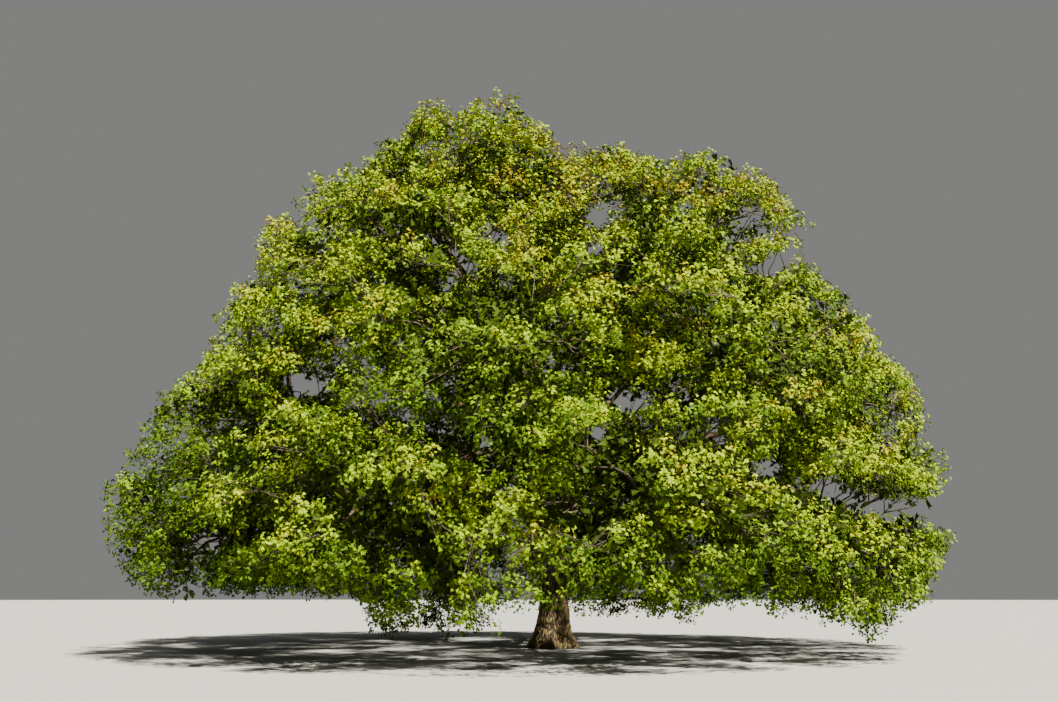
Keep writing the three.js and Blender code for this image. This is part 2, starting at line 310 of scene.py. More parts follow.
class Bough:
    """A limb from the axis of its parent to the heart of its mass."""

    def __init__(self, space, boughs, draw):
        tier = self.tier = space.tier
        self.space = space
        parent = trunk_path()
        if tier["parent"] != "trunk":
            rivals = [b for b in boughs if b.tier["name"] == tier["parent"]]
            parent = min(rivals, key=lambda b: abs(math.sin((b.space.azimuth - space.azimuth) / 2))).path
        order = (space.index * 3) % tier["masses"] / max(1, tier["masses"] - 1)
        start = parent.at(mix(*tier["leaves_parent"], order))
        end = space.centre
        reach = np.linalg.norm(end - start)
        bearing = math.atan2(end[1] - start[1], end[0] - start[0])
        side = direction(bearing + math.pi / 2)
        bend, crook = BOUGH["bend"] * reach, BOUGH["crook"] * reach
        first = start + bend * direction(bearing, math.radians(tier["leaves_at"]))
        second = end - bend * direction(space.azimuth, math.radians(tier["arrives_at"]))
        first = first + side * crook * (2 * draw() - 1)
        second = second + side * crook * (2 * draw() - 1)
        self.path = bezier(start, first, second, end)
        self.tip = 1.0
        while space.depth(self.path.at(self.tip)) < BOUGH["enters_at"]:
            self.tip -= STEP
        self.stem = self.path.stretch(self.tip + GAP / self.path.length, 1.0)

    def radius(self, share):
        """The bough's radius to its tip and the stem's beyond it, by share of the whole path."""
        root, tip = self.tier["root_radius"], self.tier["tip_radius"]
        along = share / self.tip
        swell = BOUGH["collar"] * root * np.exp(-share * self.path.length / BOUGH["collar_length"])
        stem = mix(tip, STEM_TIP_RADIUS, np.clip((share - self.tip) / (1 - self.tip), 0, 1))
        return np.where(along < 1, mix(root, tip, np.minimum(along, 1)) + swell, stem)


@lru_cache
def trunk_path():
    return Path(trunk_line)


@lru_cache
def framework():
    """The boughs with their masses' spaces, and a draw of the seeded generator for each mass."""
    draw = seeded(SEED)
    spaces = [Space(tier, i, draw) for tier in TIERS for i in range(tier["masses"])]
    for space in spaces:
        space.wall_in(spaces)
    boughs = []
    for space in spaces:
        boughs.append(Bough(space, boughs, draw))
    for bough in boughs:
        draws = [draw() for _ in range(DRAWS_PER_MASS)]
        bough.turn = 2 * math.pi * draws[CORE_POINTS]
    return boughs


def lattice(count, turn, lowest=-1.0):
    """Even directions about +Z, down to a lowest height."""
    k = np.arange(count)
    z = 1 - (1 - lowest) * (k + 0.5) / count
    angle = turn + k * GOLDEN_ANGLE
    flat = np.sqrt(1 - z * z)
    return np.stack([flat * np.cos(angle), flat * np.sin(angle), z], -1)


def turned_to(axis, directions):
    """Directions about +Z, turned so that +Z becomes an axis."""
    other = np.array([1.0, 0.0, 0.0]) if abs(axis[2]) > 0.9 else UP
    across = unit(np.cross(other, axis))
    return directions @ np.array([across, np.cross(axis, across), axis])


# The crown as it shows from the photograph's camera, on the upright plane through the trunk. A program
# measured the sides and the upper edge from the photograph's outline. The lower edge and the openings were
# given as places in the photograph, which a program turned into metres. The lists were then thinned and
# partly rounded or moved. None is worked out from the oak's own sizes.

CAMERA_PLACE = (-0.743, -34.5, 1.6)
VIEWPOINT = np.array(CAMERA_PLACE)
# The crown's sides: height, left edge, right edge.
FRONT_EDGE = [
    (1.0, -13.2, 13.2), (3.2, -14.6, 13.4), (4.6, -15.0, 12.6), (6.0, -14.5, 13.4),
    (6.8, -14.0, 12.6), (8.4, -13.2, 12.8), (9.5, -11.8, 11.6), (11.2, -11.4, 10.8),
    (12.2, -10.8, 10.0), (13.3, -10.4, 8.6), (14.5, -10.1, 9.3), (15.5, -9.3, 8.4),
    (16.6, -8.3, 8.0), (17.8, -6.0, 6.8),
]
# Its upper edge on the same plane: across, height.
UPPER_EDGE = [
    (-8.9, 15.5), (-8.2, 16.6), (-7.8, 16.2), (-7.4, 16.7), (-7.0, 16.4), (-6.2, 17.7),
    (-5.4, 17.8), (-4.7, 19.3), (-3.9, 19.3), (-3.5, 18.5), (-2.7, 19.2), (-1.9, 19.8),
    (-1.1, 19.5), (-0.3, 18.3), (0.5, 17.3), (2.5, 17.5), (4.5, 16.9), (6.1, 17.4),
    (6.8, 17.3), (7.6, 16.5), (8.0, 16.7), (8.4, 15.3), (9.5, 14.6),
]
# The lowest leaves on the same plane: across, height.
LOWER_EDGE = [
    (-14.8, 3.8), (-14.0, 2.2), (-12.3, 1.5), (-10.2, 1.7), (-6.4, 1.6), (-5.8, 0.4),
    (-2.0, 0.4), (-1.6, 1.3), (-0.2, 1.4), (1.2, 0.9), (4.5, 0.9), (5.0, 1.4),
    (6.8, 1.4), (7.2, 1.0), (9.6, 0.9), (9.9, 0.4), (10.6, 0.4), (11.0, 0.9),
    (12.3, 1.6), (13.1, 3.4),
]
# Openings between the leaves, each a slit from one point to another: across and height of either, half its
# width.
WINDOWS = [
    (-8.9, 8.7, -7.9, 8.4, 0.45),
    (-11.6, 3.4, -11.2, 3.4, 0.4),
    (-12.3, 7.8, -12.3, 7.8, 0.25),
    (-4.2, 14.1, -2.7, 12.8, 0.32),
    (-3.7, 12.2, -3.2, 12.6, 0.3),
    (-2.2, 14.2, -1.6, 13.8, 0.27),
    (-2.2, 6.5, -2.2, 6.5, 0.34),
    (1.5, 14.6, 1.8, 14.9, 0.35),
    (1.6, 13.5, 1.6, 13.5, 0.4),
    (1.6, 7.0, 1.6, 7.0, 0.5),
    (2.1, 8.2, 3.1, 8.0, 0.38),
    (4.7, 8.1, 4.7, 8.1, 0.35),
    (5.7, 6.8, 5.5, 7.4, 0.35),
    (5.2, 4.6, 5.2, 4.6, 0.25),
    (6.8, 14.6, 7.3, 14.9, 0.48),
    (7.4, 12.7, 8.3, 13.1, 0.5),
    (7.4, 5.8, 7.4, 5.8, 0.42),
    (9.4, 11.5, 9.4, 11.5, 0.3),
    (9.2, 5.1, 10.2, 4.7, 0.52),
    (10.4, 4.6, 12.8, 4.3, 0.38),
]
# Spots on the trunk's foot that the light reaches through the crown: place, radius of the gap.
LIGHT_GAPS = [((-0.35, -0.7, 0.2), 0.5), ((0.35, -0.75, 0.15), 0.35)]
# Degrees: turn of the sun to the right of the camera, and its height.
SUN_TURN, SUN_HEIGHT = 36, 58
TOWARD_SUN = direction(math.radians(SUN_TURN - 90), math.radians(SUN_HEIGHT))
# How far past the solids' box the growth may go, as a share of the box's sides.
BOX_SPARE = 0.026


def seen_from_front(points):
    """Where points show on the upright plane through the trunk: across and height."""
    share = -VIEWPOINT[1] / (points[..., 1] - VIEWPOINT[1])
    shown = VIEWPOINT + (points - VIEWPOINT) * share[..., None]
    return shown[..., 0], shown[..., 2]


def inside_edge(points):
    """How far points lie inside the crown's edge as it shows from the front."""
    across, height = seen_from_front(points)
    heights, left, right = np.array(FRONT_EDGE).T
    beside = np.minimum(across - np.interp(height, heights, left), np.interp(height, heights, right) - across)
    above = height - np.interp(across, *np.array(LOWER_EDGE).T)
    below = np.interp(across, *np.array(UPPER_EDGE).T) - height
    return np.min([beside, above, below], axis=0)


def in_window(points, rng):
    """Which points fall in an opening, each of them with a ragged edge."""
    seen = np.stack(seen_from_front(points), axis=-1)
    ragged = rng.uniform(0.6, 1.15, seen.shape[:-1])
    near = []
    for x, z, end_x, end_z, half_width in WINDOWS:
        start, along = np.array([x, z]), np.array([end_x - x, end_z - z])
        share = np.clip((seen - start) @ along / max(along @ along, 1e-6), 0, 1)
        aside = np.linalg.norm(seen - start - share[..., None] * along, axis=-1)
        near.append(aside < half_width * ragged)
    for place, radius in LIGHT_GAPS:
        from_place = points - place
        beside = from_place - (from_place @ TOWARD_SUN)[..., None] * TOWARD_SUN
        near.append(np.linalg.norm(beside, axis=-1) < radius * ragged)
    return np.any(near, axis=0)


def inside_box(points):
    """How far points lie inside the solids' box, grown by a small share of its sides."""
    low, high = np.array(CAD_BOX)
    spare = BOX_SPARE * (high - low)
    return np.min(np.minimum(points - low + spare, high + spare - points), axis=-1)


# Waves along which the crown's outline swells and sinks: turn per metre along each axis, and start.
UNEVEN_WAVES = [
    ((1.9, 0.7, -1.3), 0.4),
    ((-0.9, 2.1, 1.7), 2.1),
    ((2.6, -1.4, 2.3), 4.0),
    ((0.5, 1.2, -3.1), 5.2),
]
# How far the crown's edge sinks between tufts as seen from the viewpoint, how far past the edge the tufts
# reach, and how much closer together its waves are.
EDGE_SUNK, EDGE_PAST, EDGE_WAVES = 0.45, 0.12, 1.7
# The outline no longer sinks at the crown's top, and sinks fully this far below it.
CALM_TOP = 2.5
# Shares of a twig's length at which it is looked for in an opening.
TWIG_PLACES = np.array([[0.25], [0.5], [0.75]])
# The crown's hem, below this height, has its puffs closer together by this share.
HEM_HEIGHT, HEM_APART = 2.4, 0.8
# Least distance of the sprays inside what bounds the mass and inside the box, and of the shade sprays
# inside the crown's edge and inside the box. Below zero is past it.
SPRAY_INSIDE, SPRAY_IN_BOX = -0.16, 0.14
SHADE_INSIDE, SHADE_IN_BOX = 0.14, 0.28
# How near to what bounds the mass a branch may end.
BRANCH_CLEARANCE = 0.5
# How far back from the way they face a branch's puffs and a puff's shoots still point, as a cosine.
LOWEST_PUFF, LOWEST_SHOOT = -0.35, -0.3
# Least and most of a puff's size, of its distance and its shoots' length, and of sprays in sun and shade, as
# shares of what is set.
PUFF_SIZES, REACHES, SPRAY_SIZES, SHADE_SIZES = (0.78, 1.2), (0.8, 1.15), (0.85, 1.15), (0.8, 1.2)
# How much the tone differs from puff to puff, from shoot to shoot and from spray to spray.
TONE_OF_PUFF, TONE_OF_SHOOT, TONE_OF_SPRAY = 0.4, 0.3, 0.25
# Which of the nearest points of branches an added twig is tried from, and the inner share of a space that
# gets no added twigs.
TRIED_STARTS, ADDED_FROM = slice(0, 13, 4), 0.55
# How much flatter than a ball shade sprays and inner twigs spread.
FLATTENED = [1, 1, 0.7]
# Where the crown's surface faces away from, and how much more it faces up than a ball would.
CROWN_HEART, FACES_UP = [0, 0, 5.0], [1, 1, 1.25]

# Growth of a mass of foliage beyond its stem.


class Growth:
    """What has grown: the lines of each order, and sprays with their place, facing, tone and size."""

    def __init__(self):
        self.lines = {order: [] for order in ORDERS}
        self.sprays = {kind: [] for kind in ("sun", "shade")}

    def add_sprays(self, kind, places, facings, tones, sizes):
        rows = [places.reshape(-1, 3), facings.reshape(-1, 3), tones.reshape(-1, 1), sizes.reshape(-1, 1)]
        self.sprays[kind].append(np.hstack(rows))

    def gather(self):
        """Each kind of spray as four arrays."""
        for kind, rows in self.sprays.items():
            rows = np.concatenate(rows)
            self.sprays[kind] = rows[:, :3], rows[:, 3:6], rows[:, 6], rows[:, 7]


def unevenness(points):
    """A smooth value between 0 and 1 that rises and falls every metre or two."""
    waves = [np.sin(points @ np.array(wave) + start) for wave, start in UNEVEN_WAVES]
    return 0.5 + np.sum(waves, axis=0) / (2 * len(waves))


def room_for(space, points, settings):
    """How far points lie inside all that bounds a mass."""
    sunk = settings.ragged * unevenness(points) * np.clip((CROWN[-1][0] - points[..., 2]) / CALM_TOP, 0, 1)
    reach = (settings.reach - outness(points)) * CROWN[-1][0] / 2 - sunk
    mass = space.room(points, settings.fullness)
    return np.min([mass, reach, inside_ragged_edge(points), inside_box(points)], axis=0)


def inside_ragged_edge(points):
    """How far points lie inside the crown's edge, which sinks between its tufts."""
    return inside_edge(points) + EDGE_PAST - EDGE_SUNK * unevenness(EDGE_WAVES * points)


def drawn_in(space, start, ends, clearance, settings):
    """Each end, or the furthest share of the way to it that leaves its clearance."""
    kept = []
    for end in ends:
        places = start + np.array(REACH_SHARES)[:, None] * (end - start)
        held = room_for(space, places, settings) >= clearance
        if held.any():
            kept.append(places[np.argmax(held)])
    return kept


def outness(points):
    """Share of the crown's reach or of its height at which points lie, whichever is more."""
    azimuth = np.arctan2(points[..., 1], points[..., 0])
    out = np.hypot(points[..., 0], points[..., 1]) / crown_reach(azimuth, points[..., 2])
    high = points[..., 2] / CROWN[-1][0]
    return np.maximum(out, high)


def outward_at(points):
    """Which way the crown's surface faces nearest to points."""
    return unit((points - CROWN_HEART) * FACES_UP)


def grow_mass(bough, growth, rng, settings):
    """Branches from the stem to all sides, their twigs, and more twigs wherever the mass is still bare."""
    space, stem = bough.space, bough.stem
    lines, hearts = [], []
    for aim in lattice(settings.branches, bough.turn):
        if aim[0] < settings.turns_back and space.tier["masses"] > 1:
            continue
        start = stem.at(mix(0.5, 1, (1 + aim[0]) / 2))
        target = space.point(aim, settings.branch_reach / filled_out(aim))
        for end in drawn_in(space, space.centre, [target], BRANCH_CLEARANCE, settings):
            if outness(end) < settings.bare_heart:
                continue
            line = crooked(limb_line("branch", start, end), BRANCH_CROOK, rng)
            growth.lines["branch"].append(line)
            lines.append(line)
            add_shade(line, settings.shade_on_branch, growth, rng, spread=0.45)
            for leaves_at, heart in grow_branch(space, line, rng, settings):
                hearts.append(heart)
                grow_twig(space, leaves_at, heart, growth, rng, settings)
    fill_in(space, np.concatenate(lines), hearts, growth, rng, settings)


def grow_branch(space, line, rng, settings):
    """Where twigs leave the last part of a branch, and the hearts of the puffs that they lead to."""
    end = line[-1]
    outward = unit(end - space.centre + 0.9 * UP)
    aims = turned_to(outward, lattice(settings.puffs, 2 * math.pi * rng.random(), LOWEST_PUFF))
    spread = settings.puff_spread * rng.uniform(*REACHES, (len(aims), 1))
    ends = end + aims * spread * [1, 1, settings.flatness]
    hearts = drawn_in(space, end, ends, settings.puff_radius * 0.5, settings)
    return [(line[rng.integers(-4, -1)], heart) for heart in hearts]


def fill_in(space, points, hearts, growth, rng, settings):
    """Twigs from the nearest point of a branch to where no puff is near."""
    aims = rng.uniform(-settings.fullness, settings.fullness, (settings.tries, 3))
    places = space.centre + (aims * space.half) @ space.axes
    good = room_for(space, places, settings) > settings.rim
    good &= (filled_out(aims) > ADDED_FROM) & (outness(places) > settings.sunless_heart)
    for place in places[good]:
        apart = (np.array(hearts) - place) / [1, 1, settings.flatness]
        least = settings.apart * (HEM_APART if place[2] < HEM_HEIGHT else 1)
        if len(hearts) and np.linalg.norm(apart, axis=1).min() < least:
            continue
        nearest = points[np.argsort(np.linalg.norm(points - place + 0.3 * UP, axis=1))[TRIED_STARTS]]
        clear = [not in_window(start + TWIG_PLACES * (place - start), rng).any() for start in nearest]
        if any(clear):
            hearts.append(place)
            grow_twig(space, nearest[clear.index(True)], place, growth, rng, settings)


def limb_line(order, start, end):
    """The points of a limb of an order of growth, from start to end."""
    return arc(start, end, ORDERS[order]["arch"], np.linspace(0, 1, ORDERS[order]["points"]))


def crooked(line, share, rng):
    """A line with each point between its ends moved by about a share of its length."""
    line[1:-1] += share * np.linalg.norm(line[-1] - line[0]) * rng.normal(size=line[1:-1].shape)
    return line


def grow_twig(space, start, heart, growth, rng, settings):
    """A twig to the heart of a puff, and the puff, unless the heart is in an opening."""
    if in_window(heart[None], rng)[0]:
        return
    twig = crooked(limb_line("twig", start, heart), TWIG_CROOK, rng)
    growth.lines["twig"].append(twig)
    grow_puff(space, twig, growth, rng, settings)


def grow_puff(space, twig, growth, rng, settings):
    """Shoots over the top and sides of a puff, with small leaves outside and large shade leaves within."""
    heart = twig[-1]
    rise = np.clip(0.5 + (heart - space.centre)[2] / space.half[2], -0.2, 0.7)
    outward = unit(unit(heart - space.centre) * 0.4 + outward_at(heart) * 0.6 + rise * UP)
    aims = turned_to(outward, lattice(settings.shoots, 2 * math.pi * rng.random(), LOWEST_SHOOT))
    radius = settings.puff_radius * rng.uniform(*PUFF_SIZES)
    # A puff's tone rises higher in its mass as painted light, and drops in the hem as painted shade.
    tone = rng.normal(0, TONE_OF_PUFF) + 0.5 * rise - 0.5 * (heart[2] < HEM_HEIGHT)
    add_shade(twig[:-1], settings.shade_in_puff, growth, rng, spread=0.35 * radius, size=0.75)
    if outness(heart) < settings.sunless_heart:
        return
    ends = heart + aims * radius * rng.uniform(*REACHES, (len(aims), 1)) * [1, 1, settings.flatness]
    starts = twig[rng.integers(-3, 0, len(aims))]
    shoots = limb_line("shoot", starts, ends)
    places = arc(starts, ends, ORDERS["shoot"]["arch"], np.linspace(settings.sprays_from, 1, settings.sprays))
    around = unit(places - (heart - UP * radius * 0.35))
    facings = 0.5 * around + 0.75 * outward_at(places) + UP * rng.uniform(0.2, 0.8, (*places.shape[:2], 1))
    facings = unit(facings + 0.3 * rng.normal(size=places.shape))
    kept = np.min(room_for(space, places, settings), axis=1) > SPRAY_INSIDE
    kept &= np.min(inside_box(places), axis=1) > SPRAY_IN_BOX
    kept &= ~np.any(in_window(places, rng), axis=1)
    by_shoot = rng.normal(0, TONE_OF_SHOOT, (len(aims), 1))
    # Shoots that point up get lighter leaves, as painted light on the tops of the puffs.
    tones = tone + 0.9 * aims[:, 2:] + by_shoot + rng.normal(0, TONE_OF_SPRAY, places.shape[:2])
    sizes = rng.uniform(*SPRAY_SIZES, places.shape[:2])
    growth.lines["shoot"].extend(shoots[kept])
    growth.add_sprays("sun", places[kept], facings[kept], tones[kept], sizes[kept])


def add_shade(line, count, growth, rng, spread, size=1.0):
    """Sprays of large leaves about a line, in the shade of those outside, dark with painted shade."""
    nearest = line[rng.integers(0, len(line), count)]
    places = nearest + rng.normal(0, spread, (count, 3)) * FLATTENED
    facings = unit(outward_at(places) + 0.25 * UP + 0.4 * rng.normal(size=places.shape))
    kept = (inside_ragged_edge(places) > SHADE_INSIDE) & (inside_box(places) > SHADE_IN_BOX)
    kept &= ~in_window(places, rng)
    sizes = size * rng.uniform(*SHADE_SIZES, count)
    growth.add_sprays("shade", places[kept], facings[kept], rng.normal(0, 1, count)[kept], sizes[kept])


def grow_inner(bough, growth, rng, settings):
    """Short twigs with shade leaves round the bare part of a bough."""
    starts = bough.path.at(bough.tip * rng.uniform(settings.bare_bough, 1.0, settings.inner_twigs))
    aims = unit(rng.normal(size=starts.shape) * FLATTENED + 0.25 * UP)
    ends = starts + aims * rng.uniform(0.5, 1.4, (len(starts), 1))
    for start, end in zip(starts, ends):
        twig = limb_line("twig", start, end)
        growth.lines["twig"].append(twig)
        add_shade(twig[1:], settings.shade_on_inner, growth, rng, spread=0.3)


@lru_cache
def grown(choices):
    """Everything that grows beyond the stems, for one set of the crown's settings."""
    settings = SimpleNamespace(**dict(choices))
    growth = Growth()
    for k, bough in enumerate(framework()):
        rng = np.random.default_rng(SEED + k)
        grow_inner(bough, growth, rng, settings)
        grow_mass(bough, growth, rng, settings)
    growth.gather()
    return growth


def crown_growth(context):
    """What grows with the crown's present settings."""
    settings = context.scene.oak_crown
    names = CrownSettings.__annotations__
    return grown(tuple((name, getattr(settings, name)) for name in names))


# Meshes and node trees.


def mesh_object(name, points, faces=(), edges=()):
    mesh = bpy.data.meshes.new(name)
    mesh.from_pydata(points, edges, faces)
    mesh.update()
    piece = bpy.data.objects.new(name, mesh)
    bpy.context.scene.collection.objects.link(piece)
    return piece


def set_attribute(mesh, name, kind, values):
    attribute = mesh.attributes.new(name, kind, "POINT")
    field = "vector" if kind == "FLOAT_VECTOR" else "value"
    attribute.data.foreach_set(field, np.asarray(values, np.float32).ravel())


def add_node(tree, kind, inputs=None, **options):
    """A node with its options set, and each of its inputs linked or given a value."""
    node = tree.nodes.new(kind)
    for option, value in options.items():
        setattr(node, option, value)
    for key, value in (inputs or {}).items():
        if isinstance(value, bpy.types.NodeSocket):
            tree.links.new(value, node.inputs[key])
        else:
            node.inputs[key].default_value = value
    return node


def math_node(tree, operation, *values):
    return add_node(tree, "ShaderNodeMath", dict(enumerate(values)), operation=operation).outputs[0]


def vector_node(tree, operation, inputs):
    return add_node(tree, "ShaderNodeVectorMath", inputs, operation=operation).outputs[0]


def geometry_tree(name, inputs):
    """An empty tree of geometry nodes with named inputs, its input node and its output node."""
    tree = bpy.data.node_groups.new(name, "GeometryNodeTree")
    sockets = {"Geometry": "Geometry", **inputs}
    for socket, kind in sockets.items():
        tree.interface.new_socket(name=socket, in_out="INPUT", socket_type="NodeSocket" + kind)
    tree.interface.new_socket(name="Geometry", in_out="OUTPUT", socket_type="NodeSocketGeometry")
    return tree, tree.nodes.new("NodeGroupInput").outputs, tree.nodes.new("NodeGroupOutput")


def finish_tree(tree, given, output, geometry):
    """Ends a tree in realized instances and the material that it was given."""
    real = add_node(tree, "GeometryNodeRealizeInstances", {"Geometry": geometry})
    coated = {"Geometry": real.outputs[0], "Material": given["Material"]}
    last = add_node(tree, "GeometryNodeSetMaterial", coated)
    tree.links.new(last.outputs[0], output.inputs[0])


def run_tree(piece, tree, values):
    """Puts a tree's result in place of a piece's mesh."""
    modifier = piece.modifiers.new(tree.name, "NODES")
    modifier.node_group = tree
    for item in tree.interface.items_tree:
        if item.in_out == "INPUT" and item.name in values:
            modifier[item.identifier] = values[item.name]
    depsgraph = bpy.context.evaluated_depsgraph_get()
    evaluated = piece.evaluated_get(depsgraph)
    made = bpy.data.meshes.new_from_object(evaluated, preserve_all_data_layers=True, depsgraph=depsgraph)
    piece.modifiers.clear()
    piece.data = made
    made.name = piece.name


def named(tree, name, kind):
    node = add_node(tree, "GeometryNodeInputNamedAttribute", {"Name": name}, data_type=kind)
    return node.outputs[0]


def tube_tree():
    """Tubes of a few sides along edges, as thick as the attribute "thickness" says."""
    tree, given, output = geometry_tree("Oak twigs", {"Sides": "Int", "Material": "Material"})
    curve = add_node(tree, "GeometryNodeMeshToCurve", {"Mesh": given["Geometry"]})
    ring = {"Resolution": given["Sides"], "Radius": 1.0}
    profile = add_node(tree, "GeometryNodeCurvePrimitiveCircle", ring)
    tube = {
        "Curve": curve.outputs[0],
        "Profile Curve": profile.outputs[0],
        "Scale": named(tree, "thickness", "FLOAT"),
        "Fill Caps": True,
    }
    mesh = add_node(tree, "GeometryNodeCurveToMesh", tube)
    smooth = add_node(tree, "GeometryNodeSetShadeSmooth", {"Geometry": mesh.outputs[0]})
    finish_tree(tree, given, output, smooth.outputs[0])
    return tree


def spray_tree():
    """A spray of leaves on each point, opening round the direction that the point faces."""
    inputs = {
        "Leaf": "Object",
        "Leaves": "Int",
        "Length": "Float",
        "Scatter": "Float",
        "Roundness": "Float",
        "Lowest tilt": "Float",
        "Highest tilt": "Float",
        "Seed": "Int",
        "Material": "Material",
    }
    tree, given, output = geometry_tree("Oak leaves", inputs)

    def chance(low, high, offset):
        seed = math_node(tree, "ADD", given["Seed"], float(offset))
        return add_node(tree, "FunctionNodeRandomValue", {2: low, 3: high, "Seed": seed}).outputs[1]

    copies = {"Geometry": given["Geometry"], "Amount": given["Leaves"]}
    copied = add_node(tree, "GeometryNodeDuplicateElements", copies, domain="POINT")
    step = math_node(tree, "DIVIDE", 2 * math.pi, given["Leaves"])
    turn = math_node(tree, "MULTIPLY", copied.outputs["Duplicate Index"], step)
    turn = math_node(tree, "ADD", turn, chance(-0.45, 0.45, 1))
    turn = math_node(tree, "ADD", turn, named(tree, "turn", "FLOAT"))
    seed = math_node(tree, "ADD", given["Seed"], 5.0)
    anywhere = {0: (-1, -1, -1), 1: (1, 1, 1), "Seed": seed}
    aside = add_node(tree, "FunctionNodeRandomValue", anywhere, data_type="FLOAT_VECTOR").outputs[0]
    rounded = vector_node(tree, "SCALE", {0: aside, "Scale": given["Roundness"]})
    both = {0: rounded, 1: named(tree, "facing", "FLOAT_VECTOR")}
    facing = {"Vector": vector_node(tree, "ADD", both)}
    faced = add_node(tree, "FunctionNodeAlignRotationToVector", facing, axis="Z").outputs[0]
    tilt = math_node(tree, "MULTIPLY", chance(given["Lowest tilt"], given["Highest tilt"], 2), -1.0)
    for axis, angle in (((0, 0, 1), turn), ((0, 1, 0), tilt), ((1, 0, 0), chance(-0.5, 0.5, 3))):
        by = add_node(tree, "FunctionNodeAxisAngleToRotation", {"Axis": axis, "Angle": angle}).outputs[0]
        both = {"Rotation": faced, "Rotate By": by}
        faced = add_node(tree, "FunctionNodeRotateRotation", both, rotation_space="LOCAL").outputs[0]
    size = math_node(tree, "MULTIPLY", given["Length"], chance(0.78, 1.15, 4))
    size = math_node(tree, "MULTIPLY", size, named(tree, "size", "FLOAT"))
    offset = vector_node(tree, "SCALE", {0: aside, "Scale": given["Scatter"]})
    spread = add_node(tree, "GeometryNodeSetPosition", {"Geometry": copied.outputs[0], "Offset": offset})
    leaf = add_node(tree, "GeometryNodeObjectInfo", {"Object": given["Leaf"]})
    placed = {
        "Points": spread.outputs[0],
        "Instance": leaf.outputs["Geometry"],
        "Rotation": faced,
        "Scale": size,
    }
    sprays = add_node(tree, "GeometryNodeInstanceOnPoints", placed)
    finish_tree(tree, given, output, sprays.outputs[0])
    return tree


def noise(tree, vector, scale, detail=3.0):
    inputs = {"Vector": vector, "Scale": scale, "Detail": detail}
    return add_node(tree, "ShaderNodeTexNoise", inputs).outputs[0]


def ramp(tree, value, *steps):
    """A smooth step of a value between pairs of (value, result)."""
    (low, to_low), (high, to_high) = steps
    inputs = {"Value": value, 1: low, 2: high, 3: to_low, 4: to_high}
    node = add_node(tree, "ShaderNodeMapRange", inputs, interpolation_type="SMOOTHSTEP")
    return node.outputs[0]


def grain_point(tree, straight, width, length):
    """A point on the straightened limb, counted in ridges around and along it."""
    inverse_width = math_node(tree, "DIVIDE", 1.0, width)
    inverse_length = math_node(tree, "DIVIDE", 1.0, length)
    share = {0: inverse_width, 1: inverse_width, 2: inverse_length}
    scale = add_node(tree, "ShaderNodeCombineXYZ", share).outputs[0]
    bent = add_node(tree, "ShaderNodeTexNoise", {"Vector": straight, "Scale": 4.0, "Detail": 2.0})
    shift = {0: bent.outputs["Color"], 1: (0.09, 0.09, 0.0), 2: straight}
    moved = vector_node(tree, "MULTIPLY_ADD", shift)
    return vector_node(tree, "MULTIPLY", {0: moved, 1: scale})


def bark_tree():
    """Ridges and fissures raised on a limb, read from its straightened place and pushed out along "out"."""
    inputs = {
        "Fissure depth": "Float",
        "Ridge width": "Float",
        "Ridge length": "Float",
        "Unevenness": "Float",
        "Material": "Material",
    }
    tree, given, output = geometry_tree("Oak bark", inputs)
    straight = named(tree, "straight", "FLOAT_VECTOR")
    point = grain_point(tree, straight, given["Ridge width"], given["Ridge length"])
    cells = {"Vector": point, "Scale": 1.0, "Randomness": 0.9}
    edge = add_node(tree, "ShaderNodeTexVoronoi", cells, feature="DISTANCE_TO_EDGE").outputs["Distance"]
    ridge = ramp(tree, edge, (0.02, 0.0), (0.26, 1.0))
    lumps = math_node(tree, "SUBTRACT", noise(tree, straight, 2.2), 0.5)
    chips = math_node(tree, "SUBTRACT", noise(tree, point, 2.6), 0.5)
    rough = math_node(tree, "MULTIPLY", given["Fissure depth"], 0.5)
    height = math_node(tree, "SUBTRACT", ridge, 0.75)
    height = math_node(tree, "MULTIPLY", height, given["Fissure depth"])
    height = math_node(tree, "MULTIPLY_ADD", lumps, given["Unevenness"], height)
    height = math_node(tree, "MULTIPLY_ADD", chips, rough, height)
    height = math_node(tree, "MULTIPLY", height, named(tree, "relief", "FLOAT"))
    offset = vector_node(tree, "SCALE", {0: named(tree, "out", "FLOAT_VECTOR"), "Scale": height})
    stored = {"Geometry": given["Geometry"], "Name": "ridge", "Value": ridge}
    kept = add_node(tree, "GeometryNodeStoreNamedAttribute", stored, data_type="FLOAT", domain="POINT")
    raised = add_node(tree, "GeometryNodeSetPosition", {"Geometry": kept.outputs[0], "Offset": offset})
    smooth = add_node(tree, "GeometryNodeSetShadeSmooth", {"Geometry": raised.outputs[0]})
    finish_tree(tree, given, output, smooth.outputs[0])
    return tree


# A leaf one unit long along +X, its upper side to +Z: one blade from the stalk to a lobe on either side, and
# one from the other two lobes to the tip.
LEAF_BLADES = [
    [(0, 0, 0), (0.76, -0.3, 0.07), (0.76, 0.3, 0.07)],
    [(0.36, 0.235, 0.03), (0.36, -0.235, 0.03), (1, 0, -0.09)],
]


# Materials.


def new_material(name):
    material = bpy.data.materials.new(name)
    material.use_nodes = True
    tree = material.node_tree
    tree.nodes.clear()
    surface = tree.nodes.new("ShaderNodeBsdfPrincipled")
    output = tree.nodes.new("ShaderNodeOutputMaterial")
    tree.links.new(surface.outputs[0], output.inputs["Surface"])
    return material, tree, surface


def color_mix(tree, share, *colors):
    """A blend of two colours, each a socket or three numbers."""
    one, other = (color if isinstance(color, bpy.types.NodeSocket) else (*color, 1) for color in colors)
    inputs = {0: share, 6: one, 7: other}
    return add_node(tree, "ShaderNodeMix", inputs, data_type="RGBA").outputs[2]


